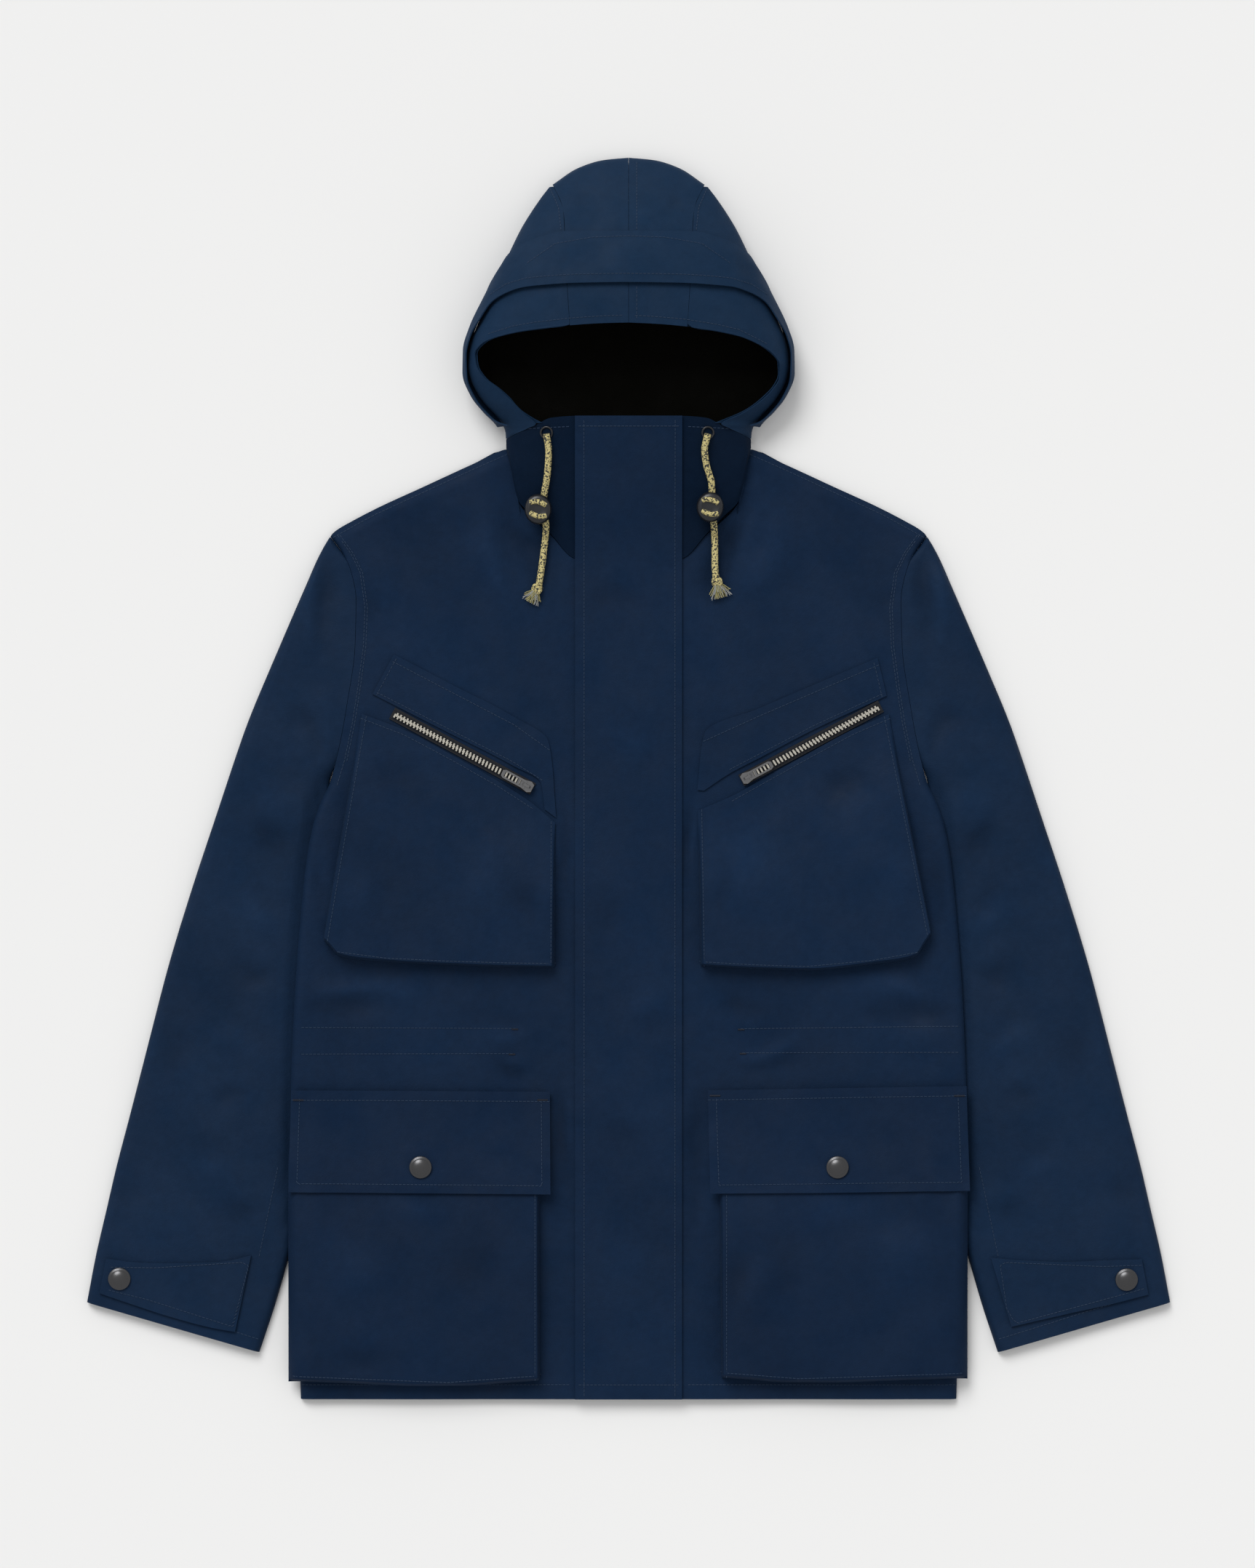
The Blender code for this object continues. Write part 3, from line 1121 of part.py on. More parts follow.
def cord_object(name, line):
    curve = bpy.data.curves.new(name, "CURVE")
    curve.dimensions = "3D"
    curve.bevel_depth = CORD_DIAMETER / 2.0 * MM
    curve.bevel_resolution = 2
    curve.use_fill_caps = True
    spline = curve.splines.new("POLY")
    spline.points.add(len(line) - 1)
    for point, at in zip(spline.points, line):
        point.co = (at[0] * MM, at[1] * MM, at[2] * MM, 1.0)
    cord = bpy.data.objects.new(name, curve)
    bpy.context.scene.collection.objects.link(cord)
    curve.materials.append(material("cord", CORD_CREAM, 0.85))
    return cord


def make_cord(side, label):
    """Drawcord in two stretches, one above its stopper and one below."""
    middle = STOPPER_PLACE[label].y
    reach = STOPPER_HALF_LENGTH + SEAM_GAP + 0.4
    above, length = cord_line(side, label, 0.0, share_at(label, middle + reach))
    below, length = cord_line(side, label, share_at(label, middle - reach), 1.0)
    cord_object("cord_" + label, above)
    cord_object("cord_tail_" + label, below)


def make_stopper(side, label):
    """Flat rounded stopper that the cord runs through."""
    place = STOPPER_PLACE[label]
    rest = max(over_height(place.x + dx, place.y + dy)
               for dx in (-9.0, 0.0, 9.0) for dy in (-11.0, 0.0, 11.0))
    steps = 20
    rings = [(0.72, 0.0), (0.93, 0.16), (1.0, 0.42), (0.97, 0.68), (0.84, 0.88), (0.6, 1.0)]
    points = []
    for share, up in rings:
        for step in range(steps):
            angle = 2.0 * math.pi * step / steps
            points.append((place.x + STOPPER_HALF_WIDTH * share * math.cos(angle),
                           place.y + STOPPER_HALF_LENGTH * share * math.sin(angle),
                           rest + LAYER_GAP + STOPPER_HEIGHT * up))
    faces = []
    for ring in range(len(rings) - 1):
        for step in range(steps):
            a = ring * steps + step
            b = ring * steps + (step + 1) % steps
            faces.append((a, b, b + steps, a + steps))
    faces.append(tuple(reversed(range(steps))))
    faces.append(tuple(range((len(rings) - 1) * steps, len(rings) * steps)))
    mesh_object("stopper_" + label, points, faces, material("stopper", STOPPER_BLACK, 0.35))


TasselRow = namedtuple("TasselRow", "along half_width half_height fray")
TASSEL = {
    "left": [TasselRow(0.0, 2.2, 2.2, 0.0), TasselRow(1.2, 4.2, 3.8, 0.0), TasselRow(4.4, 4.9, 4.2, 0.0),
             TasselRow(7.0, 3.6, 3.2, 0.1), TasselRow(9.5, 5.2, 3.6, 0.3), TasselRow(13.0, 7.6, 3.9, 0.45),
             TasselRow(16.0, 8.2, 3.4, 0.6)],
    "right": [TasselRow(0.0, 2.2, 2.2, 0.0), TasselRow(1.2, 4.0, 3.6, 0.0), TasselRow(4.2, 4.6, 4.0, 0.0),
              TasselRow(6.5, 3.4, 3.0, 0.1), TasselRow(9.0, 5.4, 3.4, 0.3), TasselRow(13.0, 8.2, 3.6, 0.45),
              TasselRow(17.0, 10.0, 2.6, 0.65)],
}
TASSEL_GAP = 1.2
TASSEL_END = {"left": PlanPoint(-82.0, 143.0), "right": PlanPoint(76.6, 148.0)}


def make_tassel(side, label):
    """Knot in the cord's end with its frayed strands fused into one ribbed tuft."""
    last = CORD_ROUTE[label][-1]
    end = TASSEL_END[label]
    start = Vector((last.x, last.y, 0.0))
    ahead = (Vector((end.x, end.y, 0.0)) - start).normalized()
    across = Vector((-ahead.y, ahead.x, 0.0))
    start += ahead * TASSEL_GAP
    steps = 22
    points = []
    for row in TASSEL[label]:
        middle = start + ahead * row.along
        rest = max(over_height(middle.x + dx, middle.y + dy) for dx in (-7.0, 0.0, 7.0) for dy in (-5.0, 5.0))
        up = rest + LAYER_GAP + max(row.half_height, CORD_DIAMETER / 2.0)
        for step in range(steps):
            angle = 2.0 * math.pi * step / steps
            share = 1.0 - row.fray * 0.5 * (step % 2)
            place = middle + across * (row.half_width * share * math.cos(angle))
            points.append((place.x, place.y, up + row.half_height * share * math.sin(angle)))
    faces = []
    for ring in range(len(TASSEL[label]) - 1):
        for step in range(steps):
            a = ring * steps + step
            b = ring * steps + (step + 1) % steps
            faces.append((a, b, b + steps, a + steps))
    faces.append(tuple(reversed(range(steps))))
    faces.append(tuple(range((len(TASSEL[label]) - 1) * steps, len(TASSEL[label]) * steps)))
    mesh_object("tassel_" + label, points, faces, material("tassel", CORD_CREAM, 0.9))


def clear_scene():
    for old in list(bpy.data.objects):
        bpy.data.objects.remove(old, do_unlink=True)


def build():
    clear_scene()
    make_back()
    make_placket()
    make_storm_flap()
    make_rim_facing()
    make_lining()
    for side, label in ((-1, "left"), (1, "right")):
        make_front(side, label)
        make_collar(side, label)
        make_sleeve(side, label)
        make_cuff_tab(side, label)
        make_hood_side(side, label)
        make_hood_crown(side, label)
        make_chest_yoke(side, label)
        make_chest_bag(side, label)
        make_zip(side, label)
        make_slider(side, label)
        make_pull_tab(side, label)
        make_lower_bag(side, label)
        make_pocket_flap(side, label)
        make_snaps(side, label)
        make_cord(side, label)
        make_stopper(side, label)
        make_tassel(side, label)


build()
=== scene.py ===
"""Looks of a hooded cotton anorak that lies flat on a pale floor, front up."""
import math
from collections import namedtuple

import bmesh
import bpy
import numpy as np
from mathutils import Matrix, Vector
from mathutils.bvhtree import BVHTree


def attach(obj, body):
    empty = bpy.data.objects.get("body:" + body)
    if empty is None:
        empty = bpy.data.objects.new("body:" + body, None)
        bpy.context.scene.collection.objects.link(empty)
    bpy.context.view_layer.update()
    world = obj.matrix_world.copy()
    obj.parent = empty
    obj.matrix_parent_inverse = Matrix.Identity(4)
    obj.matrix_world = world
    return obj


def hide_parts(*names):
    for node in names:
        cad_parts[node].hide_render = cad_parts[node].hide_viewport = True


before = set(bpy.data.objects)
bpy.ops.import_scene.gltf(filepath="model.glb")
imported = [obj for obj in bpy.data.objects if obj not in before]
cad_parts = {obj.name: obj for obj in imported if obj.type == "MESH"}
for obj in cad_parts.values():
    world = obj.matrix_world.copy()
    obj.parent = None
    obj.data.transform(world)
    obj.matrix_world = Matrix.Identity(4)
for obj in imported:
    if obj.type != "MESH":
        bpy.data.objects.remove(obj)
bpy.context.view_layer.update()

# ---- camera, floor and light ---------------------------------------------

VIEW_MIDDLE = (-0.0009, -0.0051)   # the photograph's middle, on the floor
VIEW_HEIGHT = 6.0
VIEW_LENGTH = 1.2936               # what the photograph shows from top to bottom
SENSOR_WIDTH = 36.0
SKY_STRENGTH = 0.62
WINDOW_PLACE = (-1.2, 2.6, 3.0)
WINDOW_SPREAD = 32.0               # in degrees: a broad light, so shadows are soft
WINDOW_POWER = 1.70
FLOOR_HALF = 6.0
FLOOR_DROP = 0.0004                # keeps the floor just under the cloth


def make_camera():
    data = bpy.data.cameras.new("camera")
    data.sensor_width = SENSOR_WIDTH
    data.lens = SENSOR_WIDTH * VIEW_HEIGHT / VIEW_LENGTH
    data.clip_end = 50.0
    camera = bpy.data.objects.new("camera", data)
    camera.location = (VIEW_MIDDLE[0], VIEW_MIDDLE[1], VIEW_HEIGHT)
    bpy.context.scene.collection.objects.link(camera)
    bpy.context.scene.camera = camera


def make_window_light():
    """Far soft light, so that the floor is even all over."""
    data = bpy.data.lights.new("window", "SUN")
    data.angle = math.radians(WINDOW_SPREAD)
    data.energy = WINDOW_POWER
    light = bpy.data.objects.new("window", data)
    light.location = WINDOW_PLACE
    light.rotation_euler = (-Vector(WINDOW_PLACE)).to_track_quat("-Z", "Y").to_euler()
    bpy.context.scene.collection.objects.link(light)


def make_stage():
    world = bpy.data.worlds.new("studio")
    world.use_nodes = True
    sky = world.node_tree.nodes["Background"]
    sky.inputs["Color"].default_value = (1.0, 1.0, 1.0, 1.0)
    sky.inputs["Strength"].default_value = SKY_STRENGTH
    bpy.context.scene.world = world
    make_window_light()
    paper = bpy.data.materials.new("paper")
    paper.use_nodes = True
    shader = paper.node_tree.nodes["Principled BSDF"]
    shader.inputs["Base Color"].default_value = (0.86, 0.86, 0.855, 1.0)
    shader.inputs["Roughness"].default_value = 0.9
    mesh = bpy.data.meshes.new("floor")
    corners = [(x * FLOOR_HALF, y * FLOOR_HALF, -FLOOR_DROP) for x, y in ((-1, -1), (1, -1), (1, 1), (-1, 1))]
    mesh.from_pydata(corners, [], [(0, 1, 2, 3)])
    mesh.materials.append(paper)
    floor = bpy.data.objects.new("floor", mesh)
    bpy.context.scene.collection.objects.link(floor)
    bpy.context.scene.view_settings.view_transform = "Standard"


make_camera()
make_stage()


# ---- finishes -------------------------------------------------------------

def link_through(tree, node, inputs):
    for name, source in inputs.items():
        if isinstance(source, (int, float, tuple)):
            node.inputs[name].default_value = source
        else:
            tree.links.new(source, node.inputs[name])
    return node


def noise(tree, where, scale, detail, roughness=0.55):
    node = tree.nodes.new("ShaderNodeTexNoise")
    link_through(tree, node, {"Vector": where, "Scale": scale, "Detail": detail, "Roughness": roughness})
    return node.outputs["Fac"]


def spread(tree, value, low, high, to_low, to_high):
    node = tree.nodes.new("ShaderNodeMapRange")
    link_through(tree, node, {"Value": value, "From Min": low, "From Max": high, "To Min": to_low,
                              "To Max": to_high})
    return node.outputs["Result"]


def times(tree, first, second):
    node = tree.nodes.new("ShaderNodeMath")
    node.operation = "MULTIPLY"
    for socket, source in zip(node.inputs, (first, second)):
        if isinstance(source, (int, float)):
            socket.default_value = source
        else:
            tree.links.new(source, socket)
    return node.outputs[0]


def bump(tree, height, strength, distance, normal=None):
    node = tree.nodes.new("ShaderNodeBump")
    node.inputs["Strength"].default_value = strength
    node.inputs["Distance"].default_value = distance
    tree.links.new(height, node.inputs["Height"])
    if normal is not None:
        tree.links.new(normal, node.inputs["Normal"])
    return node.outputs["Normal"]


def make_cloth_group():
    """Close-woven waxed cotton: mottled colour, painted light on the ridges of folds and painted shade in
    their troughs, and a fine crumple.
    """
    group = bpy.data.node_groups.new("waxed_cotton_look", "ShaderNodeTree")
    group.interface.new_socket("Colour", in_out="INPUT", socket_type="NodeSocketColor")
    group.interface.new_socket("Mottle", in_out="INPUT", socket_type="NodeSocketFloat")
    group.interface.new_socket("Colour", in_out="OUTPUT", socket_type="NodeSocketColor")
    group.interface.new_socket("Roughness", in_out="OUTPUT", socket_type="NodeSocketFloat")
    group.interface.new_socket("Normal", in_out="OUTPUT", socket_type="NodeSocketVector")
    given = group.nodes.new("NodeGroupInput")
    out = group.nodes.new("NodeGroupOutput")
    where = group.nodes.new("ShaderNodeTexCoord").outputs["Object"]
    clouds = spread(group, noise(group, where, 7.0, 4.0), 0.3, 0.7, -0.08, 0.08)
    flecks = spread(group, noise(group, where, 150.0, 5.0, 0.7), 0.3, 0.7, -0.09, 0.09)
    both = group.nodes.new("ShaderNodeMath")
    group.links.new(clouds, both.inputs[0])
    group.links.new(flecks, both.inputs[1])
    mottled = group.nodes.new("ShaderNodeMath")
    mottled.operation = "MULTIPLY_ADD"
    group.links.new(both.outputs[0], mottled.inputs[0])
    group.links.new(given.outputs["Mottle"], mottled.inputs[1])
    mottled.inputs[2].default_value = 1.0
    # Painted light and shade of the folds: the crease_shade attribute lightens the ridges and darkens the
    # troughs.
    painted_fold_shade = group.nodes.new("ShaderNodeAttribute")
    painted_fold_shade.attribute_name = "crease_shade"
    shade = spread(group, painted_fold_shade.outputs["Fac"], -1.0, 1.0, 0.80, 1.20)
    light = times(group, mottled.outputs[0], shade)
    scaled = group.nodes.new("ShaderNodeVectorMath")
    scaled.operation = "SCALE"
    group.links.new(given.outputs["Colour"], scaled.inputs[0])
    group.links.new(light, scaled.inputs["Scale"])
    group.links.new(scaled.outputs["Vector"], out.inputs["Colour"])
    rough = spread(group, noise(group, where, 30.0, 3.0), 0.3, 0.7, 0.62, 0.86)
    group.links.new(rough, out.inputs["Roughness"])
    crumple = bump(group, noise(group, where, 28.0, 6.0, 0.62), 0.30, 0.004)
    weave = bump(group, noise(group, where, 900.0, 2.0), 0.35, 0.0004, crumple)
    group.links.new(weave, out.inputs["Normal"])
    return group


CLOTH_LOOK = make_cloth_group()


def cloth_finish(name, colour, mottle, sheen, gloss=0.11):
    made = bpy.data.materials.new(name)
    made.use_nodes = True
    tree = made.node_tree
    shader = tree.nodes["Principled BSDF"]
    look = tree.nodes.new("ShaderNodeGroup")
    look.node_tree = CLOTH_LOOK
    look.inputs["Colour"].default_value = colour
    look.inputs["Mottle"].default_value = mottle
    tree.links.new(look.outputs["Colour"], shader.inputs["Base Color"])
    tree.links.new(look.outputs["Roughness"], shader.inputs["Roughness"])
    tree.links.new(look.outputs["Normal"], shader.inputs["Normal"])
    shader.inputs["Sheen Weight"].default_value = sheen
    shader.inputs["Sheen Roughness"].default_value = 0.45
    shader.inputs["Sheen Tint"].default_value = (0.35, 0.55, 0.9, 1.0)
    shader.inputs["Specular IOR Level"].default_value = gloss
    return made


def plain_finish(name, colour, roughness, metallic=0.0, grain=0.0):
    made = bpy.data.materials.new(name)
    made.use_nodes = True
    tree = made.node_tree
    shader = tree.nodes["Principled BSDF"]
    shader.inputs["Base Color"].default_value = colour
    shader.inputs["Roughness"].default_value = roughness
    shader.inputs["Metallic"].default_value = metallic
    if grain:
        where = tree.nodes.new("ShaderNodeTexCoord").outputs["Object"]
        height = noise(tree, where, 700.0, 4.0)
        tree.links.new(bump(tree, height, grain, 0.0004), shader.inputs["Normal"])
    return made


def make_braid_finish(name):
    """Cream braid with dark tracer flecks that wind round the cord."""
    made = bpy.data.materials.new(name)
    made.use_nodes = True
    tree = made.node_tree
    shader = tree.nodes["Principled BSDF"]
    where = tree.nodes.new("ShaderNodeTexCoord").outputs["Object"]
    cells = tree.nodes.new("ShaderNodeTexVoronoi")
    link_through(tree, cells, {"Vector": where, "Scale": 560.0})
    dark = spread(tree, noise(tree, where, 620.0, 1.0), 0.50, 0.58, 0.0, 1.0)
    blend = tree.nodes.new("ShaderNodeMix")
    blend.data_type = "RGBA"
    for socket in blend.inputs:
        if socket.name == "A" and socket.type == "RGBA":
            socket.default_value = (0.56, 0.48, 0.21, 1.0)
        if socket.name == "B" and socket.type == "RGBA":
            socket.default_value = (0.04, 0.04, 0.035, 1.0)
        if socket.name == "Factor" and socket.type == "VALUE":
            tree.links.new(dark, socket)
    result = [s for s in blend.outputs if s.type == "RGBA"][0]
    tree.links.new(result, shader.inputs["Base Color"])
    shader.inputs["Roughness"].default_value = 0.85
    tree.links.new(bump(tree, cells.outputs["Distance"], 0.6, 0.0008), shader.inputs["Normal"])
    return made


FINISHES = {
    "navy_waxed_cotton": cloth_finish("navy_cloth", (0.0036, 0.0150, 0.0420, 1.0), 1.0, 0.02),
    "sleeve": cloth_finish("navy_cloth_sleeve", (0.0044, 0.0166, 0.0440, 1.0), 1.0, 0.02),
    "hood": cloth_finish("navy_cloth_hood", (0.0056, 0.0215, 0.0530, 1.0), 0.8, 0.03),
    "pocket": cloth_finish("navy_cloth_pocket", (0.0032, 0.0135, 0.0385, 1.0), 0.9, 0.02),
    # The collar's colour is the navy cloth darkened: painted shade for the shadow in the collar's fold.
    "collar": cloth_finish("navy_cloth_collar_painted_shade", (0.0018, 0.0082, 0.0230, 1.0), 0.9, 0.01, 0.06),
    # The lining's own dark olive colour is darkened further: painted shade for the hollow inside the hood.
    "lining": cloth_finish("lining_cloth_painted_shade", (0.0019, 0.0018, 0.0012, 1.0), 0.6, 0.0, 0.03),
    "zip_tape": plain_finish("zip_tape_black", (0.006, 0.007, 0.010, 1.0), 0.9, 0.0, 0.4),
    "zip_teeth": plain_finish("teeth_silver", (0.66, 0.63, 0.55, 1.0), 0.30, 1.0),
    "gunmetal": plain_finish("dark_nickel", (0.20, 0.20, 0.205, 1.0), 0.26, 1.0, 0.08),
    "snap": plain_finish("snap_nickel", (0.085, 0.085, 0.088, 1.0), 0.30, 1.0, 0.05),
    "cord": make_braid_finish("cord_braid"),
    "tassel": plain_finish("frayed_yarn", (0.33, 0.30, 0.13, 1.0), 0.9),
    "tassel_grey": plain_finish("frayed_core", (0.30, 0.31, 0.30, 1.0), 0.9),
    "stopper": plain_finish("stopper_black", (0.008, 0.009, 0.012, 1.0), 0.32, 0.0, 0.05),
    "thread": plain_finish("navy_thread", (0.0065, 0.0255, 0.0640, 1.0), 0.8),
    "thread_dark": plain_finish("dark_thread", (0.004, 0.008, 0.020, 1.0), 0.8),
}


# ---- the garment's own sizes, in millimetres ------------------------------

MM = 0.001
CLOTH = 1.2            # one layer of waxed cotton with its seam turnings
DOUBLE_CLOTH = 2.0     # flaps, tabs and the placket are two layers
LINING_CLOTH = 1.0
SEAM_GAP = 0.3         # between two pieces that are sewn edge to edge
LAYER_GAP = 0.5        # between a piece and the panel that it lies on
SHELL_TRIM = 0.1       # the fine cloth is this much thinner than its solid

ARMPIT_Y = -5.0
SHOULDER_POINT = (246.0, 199.0)
NECK_POINT = (101.0, 271.0)
LIP_Y = 296.7          # top edge of the placket and of the collar behind it
PLACKET_HALF = 44.0
EDGE_ROLL = 7.0        # how far in from its edge a laid panel rounds over

EdgeRow = namedtuple("EdgeRow", "y half_width")
TopRow = namedtuple("TopRow", "x y")
HeightRow = namedtuple("HeightRow", "y height")
SleeveRow = namedtuple("SleeveRow", "inner_y outer_y height")
HoodRow = namedtuple("HoodRow", "y half_width crown_height widest_height")
RimRow = namedtuple("RimRow", "y x facing_dy facing_turn")
FlapRow = namedtuple("FlapRow", "sewn_y sewn_angle sewn_off free_y free_angle free_off")
PlanPoint = namedtuple("PlanPoint", "x y")

# Side edge of the body, from the hem up to the armpit.
BODY_EDGE = [
    EdgeRow(-512.0, 270.3), EdgeRow(-438.0, 272.5), EdgeRow(-378.0, 274.5),
    EdgeRow(-318.0, 276.5), EdgeRow(-257.0, 278.0), EdgeRow(-199.0, 276.0),
    EdgeRow(-150.0, 273.0), EdgeRow(-102.0, 269.0), EdgeRow(-70.0, 265.5),
    EdgeRow(-37.5, 259.5), EdgeRow(-20.0, 253.5), EdgeRow(-5.0, 246.4),
]
# Armhole seam, from the armpit up to the shoulder point.
ARMHOLE = [
    EdgeRow(-5.0, 246.4), EdgeRow(15.0, 240.6), EdgeRow(45.0, 234.4),
    EdgeRow(73.0, 230.0), EdgeRow(108.0, 225.3), EdgeRow(140.0, 224.0),
    EdgeRow(169.0, 228.0), EdgeRow(185.0, 235.8), EdgeRow(199.0, 246.0),
]
# Front neck seam, from the centre out to the neck point.
NECK_SEAM = [
    TopRow(0.0, 176.7), TopRow(43.0, 180.0), TopRow(64.0, 200.0),
    TopRow(91.0, 228.0), TopRow(101.0, 271.0),
]
SHOULDER_LINE = [
    TopRow(101.0, 271.0), TopRow(131.0, 257.7), TopRow(170.0, 239.7),
    TopRow(209.0, 221.7), TopRow(242.0, 203.7), TopRow(246.0, 199.0),
]
# Upper face of the front, away from its edges.
FRONT_HEIGHT = [
    HeightRow(-512.0, 8.0), HeightRow(-480.0, 8.8), HeightRow(-420.0, 10.2),
    HeightRow(-300.0, 11.0), HeightRow(-100.0, 11.2), HeightRow(60.0, 10.8),
    HeightRow(150.0, 10.2), HeightRow(271.0, 10.0),
]
# How high the back is carried where the sleeve is tucked under it.
TUCK_LIFT = [
    HeightRow(-512.0, 0.0), HeightRow(-412.0, 0.0), HeightRow(-396.0, 2.6),
    HeightRow(-381.0, 6.4), HeightRow(-365.0, 7.5), HeightRow(-40.0, 7.5),
    HeightRow(-5.0, 5.6), HeightRow(8.0, 2.2), HeightRow(22.0, 0.0), HeightRow(300.0, 0.0),
]
# Top of the sleeve where the body presses on it.
PRESSED_SLEEVE = [
    HeightRow(-480.0, 14.0), HeightRow(-396.0, 12.0), HeightRow(-381.0, 6.0),
    HeightRow(-365.0, 5.7), HeightRow(-40.0, 5.7), HeightRow(-5.0, 4.5),
    HeightRow(8.0, 7.4), HeightRow(24.0, 12.0), HeightRow(300.0, 14.0),
]
TUCK_RAMP = 26.0       # width over which the back climbs onto the sleeve

# Inner fold of the sleeve, where its underarm seam runs, and its outer outline.
UNDERARM = [
    EdgeRow(-473.4, 304.2), EdgeRow(-446.0, 294.8), EdgeRow(-419.0, 286.8), EdgeRow(-391.0, 278.6),
    EdgeRow(-360.0, 269.5), EdgeRow(-322.0, 262.6), EdgeRow(-278.0, 257.0), EdgeRow(-232.0, 252.6),
    EdgeRow(-188.0, 249.2), EdgeRow(-144.0, 247.0), EdgeRow(-100.0, 245.6), EdgeRow(-62.0, 245.0),
    EdgeRow(-30.0, 245.4), EdgeRow(-5.0, 246.4),
]
SLEEVE_OUTLINE = [
    EdgeRow(-432.3, 446.4), EdgeRow(-390.0, 438.3), EdgeRow(-354.0, 429.9), EdgeRow(-318.0, 421.5),
    EdgeRow(-246.0, 402.6), EdgeRow(-174.0, 384.6), EdgeRow(-102.0, 363.3), EdgeRow(-30.0, 339.6),
    EdgeRow(42.0, 315.3), EdgeRow(78.0, 300.6), EdgeRow(114.0, 285.3), EdgeRow(150.0, 269.7),
    EdgeRow(186.0, 253.8), EdgeRow(199.0, 246.0),
]
# Rows across the sleeve, from the shoulder to the cuff.
SLEEVE_ROWS = [
    SleeveRow(198.4, 197.9, 8.2),
    SleeveRow(194.5, 193.5, 9.0), SleeveRow(174.0, 181.0, 9.6), SleeveRow(146.2, 160.0, 10.0),
    SleeveRow(108.6, 128.0, 10.4), SleeveRow(60.0, 84.0, 10.6), SleeveRow(32.0, 58.0, 10.6),
    SleeveRow(12.0, 40.0, 10.6), SleeveRow(-5.0, 24.0, 10.6), SleeveRow(-20.0, 10.0, 10.6),
    SleeveRow(-37.5, -6.0, 10.6), SleeveRow(-70.0, -38.0, 10.6), SleeveRow(-120.0, -86.0, 10.4),
    SleeveRow(-190.0, -155.0, 10.2), SleeveRow(-260.0, -222.0, 10.0), SleeveRow(-320.0, -279.0, 9.8),
    SleeveRow(-365.0, -323.0, 9.6), SleeveRow(-381.0, -339.0, 9.5), SleeveRow(-396.0, -354.0, 9.4),
    SleeveRow(-435.0, -393.0, 9.2), SleeveRow(-473.4, -432.3, 9.0),
]
SLEEVE_TIP_HEIGHT = 2.4

# Collar: height of its middle, and where its arch meets the neck seam.
COLLAR_CROWN = [
    HeightRow(176.0, 10.3), HeightRow(192.0, 13.0), HeightRow(215.0, 19.0),
    HeightRow(250.0, 28.0), HeightRow(280.0, 34.6), HeightRow(297.0, 37.0),
]
COLLAR_FOOT = [
    HeightRow(176.0, 10.2), HeightRow(228.0, 10.1), HeightRow(255.0, 10.0),
    HeightRow(264.0, 8.6), HeightRow(271.0, 3.0), HeightRow(280.0, 1.7), HeightRow(300.0, 1.7),
]
COLLAR_HALF = [
    EdgeRow(172.0, 24.0), EdgeRow(180.0, 45.0), EdgeRow(200.0, 64.6), EdgeRow(228.0, 91.4),
    EdgeRow(253.0, 98.0), EdgeRow(271.0, 101.4), EdgeRow(288.0, 103.0), EdgeRow(300.0, 108.0),
]
COLLAR_ARCH = 3.4      # superellipse exponent of the collar's cross-section
COLLAR_TOP = [
    TopRow(0.0, 296.7), TopRow(44.0, 296.7), TopRow(65.0, 295.0),
    TopRow(77.0, 289.0), TopRow(90.0, 283.5), TopRow(101.0, 278.5),
]

# Cross-sections of the hood from the neck to the top of the crown.
HOOD = [
    HoodRow(270.0, 101.2, 40.0, 6.0), HoodRow(279.0, 101.0, 41.5, 8.0),
    HoodRow(288.0, 102.4, 43.5, 11.0), HoodRow(297.0, 108.5, 46.0, 14.5),
    HoodRow(305.0, 116.0, 48.0, 18.0), HoodRow(313.0, 122.5, 50.0, 20.0),
    HoodRow(321.0, 127.0, 52.5, 21.5), HoodRow(330.0, 130.5, 56.5, 22.5),
    HoodRow(339.0, 131.8, 60.5, 22.5), HoodRow(350.0, 131.0, 64.0, 21.5),
    HoodRow(363.0, 128.0, 66.0, 20.0), HoodRow(380.0, 121.0, 66.5, 18.0),
    HoodRow(397.0, 113.5, 65.0, 17.0), HoodRow(414.0, 106.3, 61.2, 16.0),
    HoodRow(430.0, 98.6, 56.0, 15.0), HoodRow(439.0, 95.0, 52.5, 14.0),
    HoodRow(456.0, 86.2, 44.5, 12.0), HoodRow(472.5, 75.6, 35.0, 10.0),
    HoodRow(489.0, 63.0, 24.5, 8.2), HoodRow(500.0, 47.5, 17.0, 7.0),
    HoodRow(506.0, 35.0, 12.5, 6.4), HoodRow(511.5, 3.0, 6.4, 6.0),
]
HOOD_ARCH = 2.2        # superellipse exponent of the hood's cross-section
HOOD_FOOT = 11.0       # width of the round under the hood's widest line
HOOD_BACK_Y = 271.6

# Edge of the face opening: it reads from the crown down to the collar.
RIM_LEFT = [
    RimRow(371.5, 0.0, 13.0, 0.0), RimRow(371.0, 22.0, 13.0, 0.0), RimRow(369.5, 47.0, 13.0, -1.0),
    RimRow(366.5, 78.0, 12.0, -3.0), RimRow(363.5, 97.0, 10.0, -6.0), RimRow(358.0, 117.0, 6.0, -10.0),
    RimRow(348.0, 126.5, 1.0, -16.0), RimRow(338.0, 125.0, 0.0, -18.0), RimRow(326.0, 117.0, 0.0, -20.0),
    RimRow(318.0, 106.0, 0.0, -20.0), RimRow(310.0, 97.0, 0.0, -20.0), RimRow(302.0, 90.5, 0.0, -20.0),
    RimRow(294.0, 79.0, 0.0, -20.0), RimRow(290.0, 71.0, 0.0, -19.0),
]
